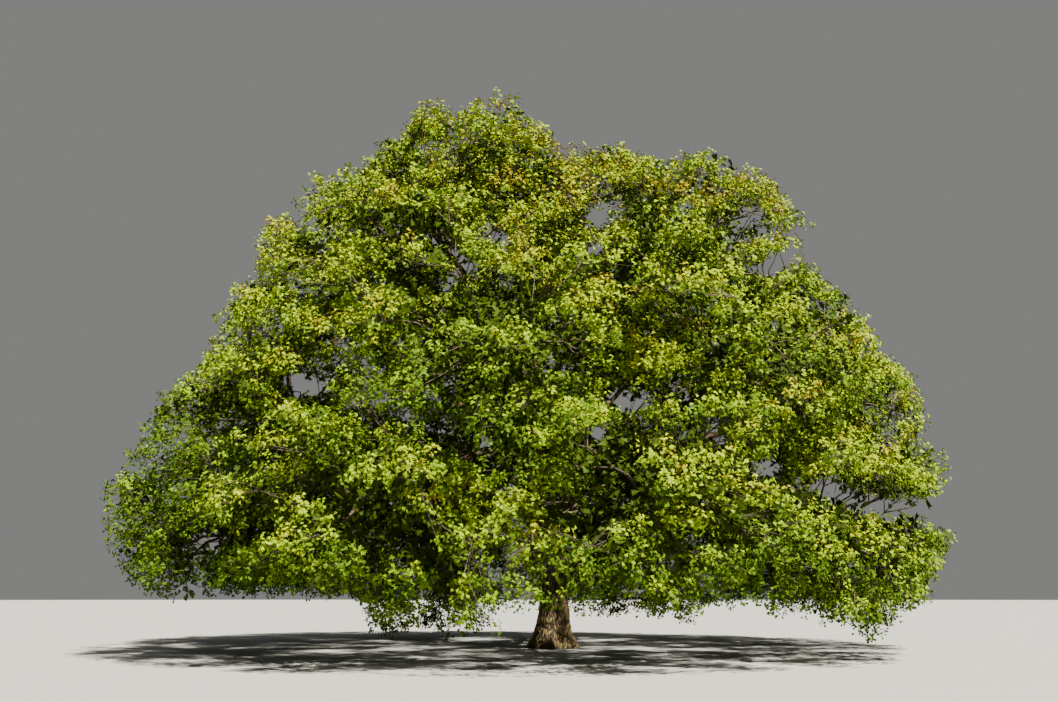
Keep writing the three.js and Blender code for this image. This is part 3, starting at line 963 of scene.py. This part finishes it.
def finish_surface(tree, surface, color, roughness, height, strength, distance):
    """Gives a surface its colour and roughness, and a bump of some strength over a distance."""
    tree.links.new(color, surface.inputs["Base Color"])
    tree.links.new(roughness, surface.inputs["Roughness"])
    bump = add_node(tree, "ShaderNodeBump", {"Height": height, "Strength": strength, "Distance": distance})
    tree.links.new(bump.outputs[0], surface.inputs["Normal"])


def bark_material(settings):
    """Oak bark: dark in the fissures, partly as painted shade, brown on the ridges, weathered grey-tan in
    patches and more so at the foot as painted sunlight, a little green.
    """
    material, tree, surface = new_material("oak_bark")
    straight = add_node(tree, "ShaderNodeAttribute", attribute_name="straight").outputs["Vector"]
    ridge = add_node(tree, "ShaderNodeAttribute", attribute_name="ridge").outputs["Fac"]
    along = vector_node(tree, "MULTIPLY", {0: straight, 1: (1, 1, 0.22)})
    grain = noise(tree, along, 46.0, 6.0)
    patches = noise(tree, straight, 1.7, 4.0)
    flakes = noise(tree, along, 15.0, 5.0)
    up = add_node(tree, "ShaderNodeSeparateXYZ", {0: straight}).outputs["Z"]
    # More weathered tan towards the trunk's foot, standing in as painted sunlight there.
    at_foot = math_node(tree, "ADD", patches, ramp(tree, up, (0.3, 0.2), (1.7, 0.0)))
    weathered = ramp(tree, at_foot, (0.44, 0.0), (0.64, 1.0))
    flaked = ramp(tree, flakes, (0.35, 0.0), (0.68, 1.0))
    brown = color_mix(tree, flaked, settings.ridge_color, settings.flake_color)
    tan = color_mix(tree, weathered, brown, settings.weathered_color)
    dark_grain = math_node(tree, "MULTIPLY", ramp(tree, grain, (0.35, 1.0), (0.6, 0.0)), 0.45)
    grained = color_mix(tree, dark_grain, tan, settings.fissure_color)
    # Down in the fissures the colour turns dark: the fissures' own bark, deepened there as painted shade.
    raised = ramp(tree, ridge, (0.05, 0.0), (0.75, 1.0))
    base = color_mix(tree, raised, settings.fissure_color, grained)
    film = ramp(tree, noise(tree, straight, 3.1, 5.0), (0.55, 0.0), (0.75, 1.0))
    green = color_mix(tree, math_node(tree, "MULTIPLY", film, 0.4), base, settings.moss_color)
    roughness = ramp(tree, flakes, (0.3, 0.96), (0.7, 0.82))
    height = math_node(tree, "MULTIPLY_ADD", grain, 0.35, flakes)
    finish_surface(tree, surface, green, roughness, height, 0.7, 0.012)
    surface.inputs["Specular IOR Level"].default_value = 0.25
    return material


def twig_material(settings):
    """Young bark: grey-brown, browner in patches, with fine dark spots."""
    material, tree, surface = new_material("oak_twig_bark")
    place = add_node(tree, "ShaderNodeTexCoord").outputs["Object"]
    patches = noise(tree, place, 2.4, 4.0)
    spots = noise(tree, place, 60.0, 4.0)
    share = ramp(tree, patches, (0.4, 0.0), (0.64, 1.0))
    base = color_mix(tree, share, settings.twig_color, settings.ridge_color)
    spotted = color_mix(tree, ramp(tree, spots, (0.5, 0.0), (0.7, 0.6)), base, settings.fissure_color)
    roughness = ramp(tree, spots, (0.3, 0.9), (0.7, 0.7))
    finish_surface(tree, surface, spotted, roughness, spots, 0.5, 0.004)
    surface.inputs["Specular IOR Level"].default_value = 0.3
    return material


def leaf_material(name, tint):
    """A leaf of one tint: paler along the midrib and side veins, and mottled a little over the crown."""
    material, tree, surface = new_material(name)
    uv = add_node(tree, "ShaderNodeUVMap", uv_map="UVMap").outputs[0]
    parts = add_node(tree, "ShaderNodeSeparateXYZ", {0: uv}).outputs
    side = math_node(tree, "ABSOLUTE", math_node(tree, "SUBTRACT", parts["Y"], 0.5))
    slant = math_node(tree, "MULTIPLY_ADD", side, -1.1, parts["X"])
    wave = math_node(tree, "SINE", math_node(tree, "MULTIPLY", slant, 38.0))
    vein = ramp(tree, wave, (0.78, 0.0), (1.0, 0.5))
    rib = ramp(tree, side, (0.0, 1.0), (0.035, 0.0))
    lines = math_node(tree, "MAXIMUM", vein, rib)
    place = add_node(tree, "ShaderNodeTexCoord").outputs["Object"]
    mottle = noise(tree, place, 5.0, 3.0)
    dark = [channel * 0.78 for channel in tint]
    pale = [channel * 0.65 + part for channel, part in zip(tint, (0.09, 0.1, 0.0))]
    blade = color_mix(tree, ramp(tree, mottle, (0.36, 0.0), (0.62, 1.0)), dark, tint)
    veined = color_mix(tree, math_node(tree, "MULTIPLY", lines, 0.4), blade, pale)
    roughness = ramp(tree, mottle, (0.35, 0.8), (0.65, 0.66))
    finish_surface(tree, surface, veined, roughness, lines, 0.35, 0.004)
    surface.inputs["Specular IOR Level"].default_value = 0.08
    return material


def floor_material(settings):
    material, tree, surface = new_material("pale_floor")
    place = add_node(tree, "ShaderNodeTexCoord").outputs["Object"]
    cloud = noise(tree, place, 0.4, 4.0)
    darker = [channel * 0.96 for channel in settings.floor_color]
    base = color_mix(tree, cloud, darker, settings.floor_color)
    tree.links.new(base, surface.inputs["Base Color"])
    surface.inputs["Roughness"].default_value = 0.9
    return material


# Limbs with bark.


def carried_frames(points):
    """Two directions square to a line at each of its points, carried along without a twist."""
    tangents = unit(np.gradient(points, axis=0))
    normal = unit(np.cross(tangents[0], np.cross(UP + [0.3, 0.1, 0], tangents[0])))
    normals = []
    for tangent in tangents:
        normal = unit(normal - tangent * (normal @ tangent))
        normals.append(normal)
    normals = np.array(normals)
    return normals, np.cross(tangents, normals)


def limb_skin(centres, radii, across, beside, travelled, sides):
    """Points of a closed limb ring by ring, with each one's straightened place and outward direction."""
    angle = 2 * math.pi * np.arange(sides) / sides
    round_cos, round_sin = np.cos(angle)[None, :, None], np.sin(angle)[None, :, None]
    out = round_cos * across[:, None] + round_sin * beside[:, None]
    points = centres[:, None] + out * radii[..., None]
    flat = np.broadcast_to(radii, points.shape[:2])
    along = np.broadcast_to(travelled[:, None], points.shape[:2])
    straight = np.stack([flat * np.cos(angle), flat * np.sin(angle), along], -1)
    return points, straight, out


class Skins:
    """Several closed limbs gathered in one mesh."""

    def __init__(self):
        self.points, self.straight, self.out, self.relief, self.faces = [], [], [], [], []
        self.count = 0

    def add(self, points, straight, out, relief):
        rings, sides, _ = points.shape
        ends = [points[0].mean(0), points[-1].mean(0)]
        self.points += [points.reshape(-1, 3), ends]
        self.straight += [straight.reshape(-1, 3), [straight[0].mean(0), straight[-1].mean(0)]]
        self.out += [out.reshape(-1, 3), np.zeros((2, 3))]
        self.relief += [np.repeat(relief, sides), [0.0, 0.0]]
        first = self.count
        ring = np.arange(sides)
        after = (ring + 1) % sides
        for k in range(rings - 1):
            low, high = first + k * sides, first + (k + 1) * sides
            self.faces += np.stack([low + ring, low + after, high + after, high + ring], 1).tolist()
        foot, head = first + rings * sides, first + rings * sides + 1
        last = first + (rings - 1) * sides
        self.faces += [(foot, first + b, first + a) for a, b in zip(ring.tolist(), after.tolist())]
        self.faces += [(head, last + a, last + b) for a, b in zip(ring.tolist(), after.tolist())]
        self.count += rings * sides + 2

    def build(self, name):
        piece = mesh_object(name, np.concatenate(self.points).tolist(), self.faces)
        set_attribute(piece.data, "straight", "FLOAT_VECTOR", np.concatenate(self.straight))
        set_attribute(piece.data, "out", "FLOAT_VECTOR", np.concatenate(self.out))
        set_attribute(piece.data, "relief", "FLOAT", np.concatenate(self.relief))
        return piece


def rounded_end(share, start, length):
    """What is left of a limb's radius where it closes in a rounded end."""
    return np.sqrt(1 - np.clip((share - start) / length, 0, 1) ** 2)[:, None]


def trunk_radius(share, angle):
    """The trunk's radius: a tapering shaft, its roots flaring into buttresses at the foot."""
    fade = np.exp(-share * TRUNK["fork"][2] / TRUNK["flare_height"])
    shaft = mix(TRUNK["base_radius"], TRUNK["fork_radius"], share) + TRUNK["flare"] * fade
    turns = TRUNK["buttresses"] * angle + TRUNK["uneven"] * np.sin(angle)
    return shaft * (1 + TRUNK["buttress_share"] * fade * np.cos(turns))


def put_bark(piece, settings, width):
    """Raises the bark on a piece, at a share of its width on the trunk."""
    values = {
        "Fissure depth": settings.fissure_depth * width,
        "Ridge width": settings.ridge_width * width,
        "Ridge length": settings.ridge_length * width,
        "Unevenness": settings.unevenness * width,
        "Material": existing("oak_bark", bark_material, settings),
    }
    run_tree(piece, existing("Oak bark", bark_tree), values)
    for name in ("out", "relief"):
        piece.data.attributes.remove(piece.data.attributes[name])


def existing(name, make, *values):
    """A material or node tree by name, made the first time that it is asked for."""
    for kept in (bpy.data.materials, bpy.data.node_groups):
        if name in kept:
            return kept[name]
    return make(*values)


# Where the trunk and a bough close in a rounded end: from which share of their length, over what share.
TRUNK_END, BOUGH_END = (0.965, 0.036), (0.99, 0.0101)
# How much closer together the trunk's rings are at its foot, and how fast its bark fades out at the top.
RINGS_AT_FOOT, TRUNK_FADE = 1.25, 30
# A bough's bark: its ridges' width as a share of the trunk's, the radius from which it is raised in full, the
# least share of that, and how far apart on the pattern the boughs lie.
BOUGH_BARK_WIDTH, FULL_RELIEF_AT, LEAST_RELIEF, PATTERN_STEP = 0.62, 0.17, 0.2, 20.0

# The oak's settings, as a user changes them, each with its name, description, default and limits.


def whole_number(name, description, default, **limits):
    return IntProperty(name=name, description=description, default=default, **limits)


def plain_number(name, description, default, **limits):
    return FloatProperty(name=name, description=description, default=default, **limits)


def in_metres(name, description, default, **limits):
    return plain_number(name, description, default, unit="LENGTH", **limits)


def in_degrees(name, description, default):
    return plain_number(name, description, math.radians(default), unit="ROTATION")


def color_value(name, description, default):
    return FloatVectorProperty(name=name, description=description, default=default, subtype="COLOR")


class BarkSettings(bpy.types.PropertyGroup):
    fissure_depth: in_metres("Fissure depth", "Depth of the fissures on the trunk", 0.03, min=0.0)
    ridge_width: in_metres("Ridge width", "Width of a ridge on the trunk", 0.075, min=0.01)
    ridge_length: in_metres("Ridge length", "Length of a ridge on the trunk", 0.42, min=0.02)
    unevenness: in_metres("Unevenness", "Height of the lumps under the ridges", 0.06, min=0.0)
    trunk_sides: whole_number("Trunk sides", "Points around the trunk", 230, min=12)
    trunk_rings: whole_number("Trunk rings", "Rings of points up the trunk", 185, min=12)
    bough_sides: whole_number("Bough sides", "Points around a bough", 38, min=8)
    bough_step: in_metres("Bough step", "Distance between a bough's rings", 0.13, min=0.02)
    ridge_color: color_value("Ridges", "Colour of the ridges", (0.055, 0.038, 0.02))
    flake_color: color_value("Flakes", "Colour of flaked ridges", (0.1, 0.07, 0.036))
    # The fissure colour is partly painted shade; the twigs' fine dark spots take it too.
    fissure_color: color_value("Fissures", "Colour down in the fissures", (0.018, 0.013, 0.009))
    # Weathered patches, and at the trunk's foot painted sunlight too.
    weathered_color: color_value("Weathered bark", "Colour of weathered patches", (0.2, 0.143, 0.06))
    moss_color: color_value("Green film", "Colour of the green film on bark", (0.075, 0.085, 0.03))
    twig_color: color_value("Young bark", "Colour of branches and twigs", (0.035, 0.026, 0.017))


class CrownSettings(bpy.types.PropertyGroup):
    branches: whole_number("Branches", "Branches of a mass of foliage", 13, min=1)
    puffs: whole_number("Puffs", "Puffs of leaves on a branch", 5, min=1)
    shoots: whole_number("Shoots", "Shoots of a puff", 9, min=1)
    sprays: whole_number("Sprays", "Sprays of leaves along a shoot", 2, min=1)
    shade_in_puff: whole_number("Shade in a puff", "Sprays of shade leaves in a puff", 6, min=0)
    shade_on_branch: whole_number("Shade on a branch", "Sprays of shade leaves about a branch", 17, min=0)
    inner_twigs: whole_number("Inner twigs", "Twigs round the bare part of a bough", 16, min=0)
    shade_on_inner: whole_number(
        "Shade on an inner twig", "Sprays of shade leaves about an inner twig", 5, min=0
    )
    bare_bough: plain_number(
        "Bare bough", "Share of a bough where its first twig grows", 0.3, min=0.0, max=1.0
    )
    sprays_from: plain_number(
        "Sprays from", "Share of a shoot where its first spray grows", 0.58, min=0.0, max=1.0
    )
    branch_reach: plain_number(
        "Branch reach", "Where branches end, as a share of the space", 0.66, min=0.1, max=1.0
    )
    fullness: plain_number("Fullness", "Share of its space that a mass fills", 1.2, min=0.2, max=1.2)
    reach: plain_number("Reach", "Share of the crown's reach that leaves keep to", 1.02, min=0.2, max=1.1)
    tries: whole_number("Tries", "Places tried for more twigs in a mass", 1500, min=0)
    apart: in_metres("Apart", "Distance of those twigs' puffs from any other", 1.6, min=0.1)
    rim: in_metres("Rim", "Least distance of those puffs from the mass's outside", 0.14)
    puff_spread: in_metres("Puff spread", "Distance of puffs from their branch's end", 1.15, min=0.1)
    ragged: in_metres("Ragged", "How far the crown's outline sinks in places", 0.7, min=0.0)
    flatness: plain_number(
        "Flatness", "Height of branches' foliage as a share of its width", 0.62, min=0.1, max=1.0
    )
    puff_radius: in_metres("Puff radius", "Length of a puff's shoots", 0.62, min=0.1)
    turns_back: plain_number(
        "Turns back", "How far a branch may point back to the trunk", -0.95, min=-1.0, max=1.0
    )
    bare_heart: plain_number(
        "Bare heart", "Share of the crown's reach within which no branch ends", 0.3, min=0.0, max=1.0
    )
    sunless_heart: plain_number(
        "Sunless heart", "Share of the crown's reach where only shade leaves grow", 0.56, min=0.0, max=1.0
    )


class LeafSettings(bpy.types.PropertyGroup):
    leaves: whole_number("Leaves", "Leaves of a spray", 13, min=1)
    length: in_metres("Leaf length", "Length of a leaf, larger than life", 0.13, min=0.02)
    scatter: in_metres("Scatter", "Distance of leaves from the heart of their spray", 0.12, min=0.0)
    roundness: plain_number(
        "Roundness", "How far leaves face away from the heart of their spray", 0.9, min=0.0
    )
    lowest_tilt: in_degrees("Lowest tilt", "Least rise of a leaf out of its spray", -20)
    highest_tilt: in_degrees("Highest tilt", "Most rise of a leaf out of its spray", 30)
    shade_leaves: whole_number("Shade leaves", "Leaves of a spray in the shade", 6, min=1)
    shade_length: in_metres("Shade leaf length", "Length of a leaf in the shade", 0.28, min=0.02)
    shade_scatter: in_metres("Shade scatter", "The same distance in the shade", 0.17, min=0.0)
    seed: whole_number("Seed", "Seed of the leaves' small differences", 7, min=0)
    # The shade leaves' very dark tints are painted shade, the lower ones darker still.
    low_shade: color_value("Low shade", "Tint of the lower shade leaves", (0.016, 0.032, 0.0))
    high_shade: color_value("High shade", "Tint of the higher shade leaves", (0.024, 0.048, 0.0))
    deep: color_value("Deep green", "Tint of the deepest leaves", (0.047, 0.096, 0.001))
    mid: color_value("Mid green", "Tint of most leaves", (0.122, 0.204, 0.001))
    fresh: color_value("Fresh green", "Tint of fresh leaves", (0.175, 0.262, 0.001))
    bright: color_value("Bright green", "Tint of the brightest leaves", (0.19, 0.264, 0.002))
    yellow: color_value("Yellow-green", "Tint of yellowish leaves", (0.225, 0.26, 0.002))
    bronze: color_value("Bronze", "Tint of the youngest leaves", (0.19, 0.163, 0.004))


class StageSettings(bpy.types.PropertyGroup):
    camera_place: FloatVectorProperty(
        name="Camera", description="Where the camera stands", default=CAMERA_PLACE, subtype="TRANSLATION"
    )
    camera_pitch: in_degrees("Camera pitch", "How far the camera looks up", 13.45)
    lens: plain_number("Lens", "Focal length in millimetres", 35.0, min=1.0)
    sun_strength: plain_number("Sun", "Strength of the sun", 26.5, min=0.0)
    sun_size: in_degrees("Sun size", "Softness of the sun", 1.6)
    sun_height: in_degrees("Sun height", "Height of the sun over the floor", SUN_HEIGHT)
    sun_turn: in_degrees("Sun turn", "Turn of the sun to the right of the camera", SUN_TURN)
    fill_strength: plain_number("Fill", "Strength of the light from all round", 0.22, min=0.0)
    fill_color: color_value("Fill colour", "Colour of the light from all round", (1.0, 1.0, 0.98))
    floor_color: color_value("Floor", "Colour of the floor", (0.21, 0.21, 0.215))
    floor_radius: in_metres("Floor radius", "Size of the floor", 600.0, min=1.0)


# Operators, one for each piece or group of like pieces.


class GrowTrunk(bpy.types.Operator):
    """Grow the trunk's bark, with its root flare, from the ground to the fork"""

    bl_idname = "oak.grow_trunk"
    bl_label = "Grow trunk"

    def execute(self, context):
        settings = context.scene.oak_bark
        sides, rings = settings.trunk_sides, settings.trunk_rings
        share = np.linspace(0, 1, rings) ** RINGS_AT_FOOT
        angle = 2 * math.pi * np.arange(sides) / sides
        radii = trunk_radius(share[:, None], angle[None])
        radii *= rounded_end(share, *TRUNK_END)
        centres = trunk_line(share)
        level = np.broadcast_to([[1.0, 0, 0]], centres.shape), np.broadcast_to([[0, 1.0, 0]], centres.shape)
        points, straight, out = limb_skin(centres, radii, *level, share * TRUNK["fork"][2], sides)
        skins = Skins()
        skins.add(points, straight, out, np.clip((1 - share) * TRUNK_FADE, 0, 1))
        piece = skins.build("trunk_bark")
        put_bark(piece, settings, 1.0)
        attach(piece, BODY)
        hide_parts("trunk")
        return {"FINISHED"}


class GrowBoughs(bpy.types.Operator):
    """Grow each bough from the trunk or its parent bough to the heart of its mass"""

    bl_idname = "oak.grow_boughs"
    bl_label = "Grow boughs"

    def execute(self, context):
        settings = context.scene.oak_bark
        sides = settings.bough_sides
        skins = Skins()
        for bough in framework():
            rings = max(8, round(bough.path.length / settings.bough_step))
            share = np.linspace(0, 1, rings)
            centres = bough.path.at(share)
            radii = np.repeat(bough.radius(share)[:, None], sides, 1)
            radii *= rounded_end(share, *BOUGH_END)
            travelled = share * bough.path.length + PATTERN_STEP * len(skins.relief)
            skin = limb_skin(centres, radii, *carried_frames(centres), travelled, sides)
            skins.add(*skin, np.clip(bough.radius(share) / FULL_RELIEF_AT, LEAST_RELIEF, 1))
        piece = skins.build("boughs_bark")
        put_bark(piece, settings, BOUGH_BARK_WIDTH)
        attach(piece, BODY)
        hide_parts(*["bough_" + bough.space.name for bough in framework()])
        return {"FINISHED"}


class GrowBranches(bpy.types.Operator):
    """Grow the branches, twigs and shoots that carry the leaves"""

    bl_idname = "oak.grow_branches"
    bl_label = "Grow branches"

    def execute(self, context):
        growth = crown_growth(context)
        bark = existing("oak_twig_bark", twig_material, context.scene.oak_bark)
        groups = {"branches": ("branch", 6), "twigs": ("twig", 4), "shoots": ("shoot", 3)}
        for name, (order, sides) in groups.items():
            points, edges, thickness = [], [], []
            for line in growth.lines[order]:
                first = len(points)
                points.extend(line.tolist())
                edges.extend((first + k, first + k + 1) for k in range(len(line) - 1))
                thickness.extend(np.linspace(*ORDERS[order]["radii"], len(line)))
            piece = mesh_object(name, points, edges=edges)
            set_attribute(piece.data, "thickness", "FLOAT", thickness)
            run_tree(piece, existing("Oak twigs", tube_tree), {"Sides": sides, "Material": bark})
            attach(piece, BODY)
            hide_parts(*foliage_nodes())
        return {"FINISHED"}


class GrowLeaves(bpy.types.Operator):
    """Grow the sprays of leaves, a piece for each tint"""

    bl_idname = "oak.grow_leaves"
    bl_label = "Grow leaves"

    TINTS = {"deep": 0.26, "mid": 0.2, "fresh": 0.21, "bright": 0.18, "yellow": 0.09, "bronze": 0.06}

    def execute(self, context):
        growth = crown_growth(context)
        settings = context.scene.oak_leaf
        leaf = make_leaf()
        places, _, tones, _ = growth.sprays["sun"]
        # Tints go from deep to bronze by tone, so the painted light and shade in the tone show as tints.
        order = np.argsort(tones + painted_light_and_shade_of_place(places), kind="stable")
        cuts = np.round(np.cumsum([0, *self.TINTS.values()]) * len(order)).astype(int)
        rng = np.random.default_rng(SEED)
        for k, tint in enumerate(self.TINTS):
            chosen = np.sort(order[cuts[k] : cuts[k + 1]])
            sprays = [rows[chosen] for rows in growth.sprays["sun"]]
            color = getattr(settings, tint)
            shape = settings.leaves, settings.length, settings.scatter
            put_leaves("leaves_" + tint, leaf, sprays, shape, color, settings, rng)
        shape = settings.shade_leaves, settings.shade_length, settings.shade_scatter
        # The lower half of the shade sprays gets the darker tint, as painted shade.
        heights = growth.sprays["shade"][0][:, 2]
        low = heights < np.median(heights)
        for name, chosen, color in (("low", low, settings.low_shade), ("high", ~low, settings.high_shade)):
            sprays = [rows[chosen] for rows in growth.sprays["shade"]]
            put_leaves("leaves_shade_" + name, leaf, sprays, shape, color, settings, rng)
        bpy.data.objects.remove(leaf)
        return {"FINISHED"}


def put_leaves(name, leaf, sprays, shape, color, settings, rng):
    """One piece of leaves of one tint, on sprays given by place, facing, tone and size."""
    count, length, scatter = shape
    places, facings, _, sizes = sprays
    material = leaf_material("oak_" + name, color)
    leaf.data.materials.clear()
    leaf.data.materials.append(material)
    piece = mesh_object(name, places.tolist())
    set_attribute(piece.data, "facing", "FLOAT_VECTOR", facings)
    set_attribute(piece.data, "size", "FLOAT", sizes)
    set_attribute(piece.data, "turn", "FLOAT", rng.uniform(0, 2 * math.pi, len(places)))
    values = {
        "Leaf": leaf,
        "Leaves": count,
        "Length": length,
        "Scatter": scatter,
        "Roundness": settings.roundness,
        "Lowest tilt": settings.lowest_tilt,
        "Highest tilt": settings.highest_tilt,
        "Seed": settings.seed + len(name),
        "Material": material,
    }
    run_tree(piece, existing("Oak leaves", spray_tree), values)
    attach(piece, BODY)
    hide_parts(*foliage_nodes())


# The stage: the floor's corners, the camera's sensor in millimetres and how far it sees, and the sunlight.
FLOOR_CORNERS = 96
SENSOR_WIDTH = 36.0
FARTHEST_SEEN = 3000.0
SUN_COLOR = (1.0, 0.96, 0.78)


class SetStage(bpy.types.Operator):
    """Set the pale floor, the sun, the light from all round and the camera"""

    bl_idname = "oak.set_stage"
    bl_label = "Set stage"

    def execute(self, context):
        settings = context.scene.oak_stage
        scene = context.scene
        angle = np.linspace(0, 2 * math.pi, FLOOR_CORNERS, endpoint=False)
        rim = np.stack([np.cos(angle), np.sin(angle), 0 * angle], 1) * settings.floor_radius
        floor = mesh_object("floor", rim.tolist(), [tuple(range(FLOOR_CORNERS))])
        floor.data.materials.append(floor_material(settings))
        camera = bpy.data.objects.new("camera", bpy.data.cameras.new("camera"))
        camera.data.lens = settings.lens
        camera.data.sensor_width = SENSOR_WIDTH
        camera.data.clip_end = FARTHEST_SEEN
        camera.location = settings.camera_place
        camera.rotation_euler = (math.radians(90) + settings.camera_pitch, 0, 0)
        scene.collection.objects.link(camera)
        scene.camera = camera
        sun = bpy.data.objects.new("sun", bpy.data.lights.new("sun", "SUN"))
        sun.data.energy = settings.sun_strength
        sun.data.angle = settings.sun_size
        sun.data.color = SUN_COLOR
        flat = math.cos(settings.sun_height)
        toward = Vector((flat * math.sin(settings.sun_turn), -flat * math.cos(settings.sun_turn), 0))
        toward.z = math.sin(settings.sun_height)
        sun.rotation_euler = toward.to_track_quat("Z", "Y").to_euler()
        scene.collection.objects.link(sun)
        world = bpy.data.worlds.new("studio")
        world.use_nodes = True
        light = world.node_tree.nodes["Background"].inputs
        light["Color"].default_value = (*settings.fill_color, 1)
        light["Strength"].default_value = settings.fill_strength
        scene.world = world
        return {"FINISHED"}


def foliage_nodes():
    return ["foliage_" + bough.space.name for bough in framework()]


def make_leaf():
    """An oak leaf of two blades, which together show two lobes on either side of the rib."""
    outline = [point for blade in LEAF_BLADES for point in blade]
    leaf = mesh_object("leaf", outline, [(0, 1, 2), (3, 4, 5)])
    uv = leaf.data.uv_layers.new(name="UVMap")
    for loop in leaf.data.loops:
        x, y, _ = outline[loop.vertex_index]
        uv.data[loop.index].uv = (x, y + 0.5)
    return leaf


# Patches of the crown with lighter leaves, or deeper ones below zero: by how much, across, height, and how
# far the patch reaches each way. They were fitted by brightness to the photograph's one view.
# The lighter patches are painted light, and the deeper ones painted shade.
PAINTED_LIGHT_AND_SHADE_PATCHES = [
    (0.7, 1.5, 13.5, 3.0, 2.5),
    (0.6, 11.0, 7.0, 2.5, 2.0),
    (0.5, -4.5, 2.6, 2.5, 1.3),
    (-1.0, -3.0, 5.6, 3.5, 1.3),
]


def painted_light_and_shade_of_place(places):
    """What the place of a spray adds to its tone, as painted light and shade: more high up, less at the far
    left, and the patches.
    """
    x, _, z = places.T
    tone = 0.25 * ((z - 8.0) / 8.0)
    for weight, across, height, reach, rise in PAINTED_LIGHT_AND_SHADE_PATCHES:
        tone += weight * np.exp(-(((x - across) / reach) ** 2) - ((z - height) / rise) ** 2)
    return tone - 1.5 * (np.clip((-x - 7.0) / 3, 0, 1) * np.clip((8.5 - z) / 2.5, 0, 1))


class OakPanel(bpy.types.Panel):
    """The oak's settings and operators"""

    bl_idname = "OAK_PT_oak"
    bl_label = "Oak"
    bl_space_type = "VIEW_3D"
    bl_region_type = "UI"
    bl_category = "Oak"

    def draw(self, context):
        for title, group, operators in STEPS:
            box = self.layout.box()
            box.label(text=title)
            settings = getattr(context.scene, group)
            for name in type(settings).__annotations__:
                box.prop(settings, name)
            for operator in operators:
                box.operator(operator.bl_idname)


STEPS = [
    ("Bark", "oak_bark", [GrowTrunk, GrowBoughs]),
    ("Crown", "oak_crown", [GrowBranches]),
    ("Leaves", "oak_leaf", [GrowLeaves]),
    ("Stage", "oak_stage", [SetStage]),
]
SETTINGS = {
    "oak_bark": BarkSettings,
    "oak_crown": CrownSettings,
    "oak_leaf": LeafSettings,
    "oak_stage": StageSettings,
}
CLASSES = [*SETTINGS.values(), GrowTrunk, GrowBoughs, GrowBranches, GrowLeaves, SetStage, OakPanel]


def register():
    for each in CLASSES:
        bpy.utils.register_class(each)
    for name, group in SETTINGS.items():
        setattr(bpy.types.Scene, name, PointerProperty(type=group))


def unregister():
    for name in SETTINGS:
        delattr(bpy.types.Scene, name)
    for each in reversed(CLASSES):
        bpy.utils.unregister_class(each)


def main():
    register()
    bpy.ops.oak.set_stage()
    bpy.ops.oak.grow_trunk()
    bpy.ops.oak.grow_boughs()
    bpy.ops.oak.grow_branches()
    bpy.ops.oak.grow_leaves()


if __name__ == "__main__":
    main()
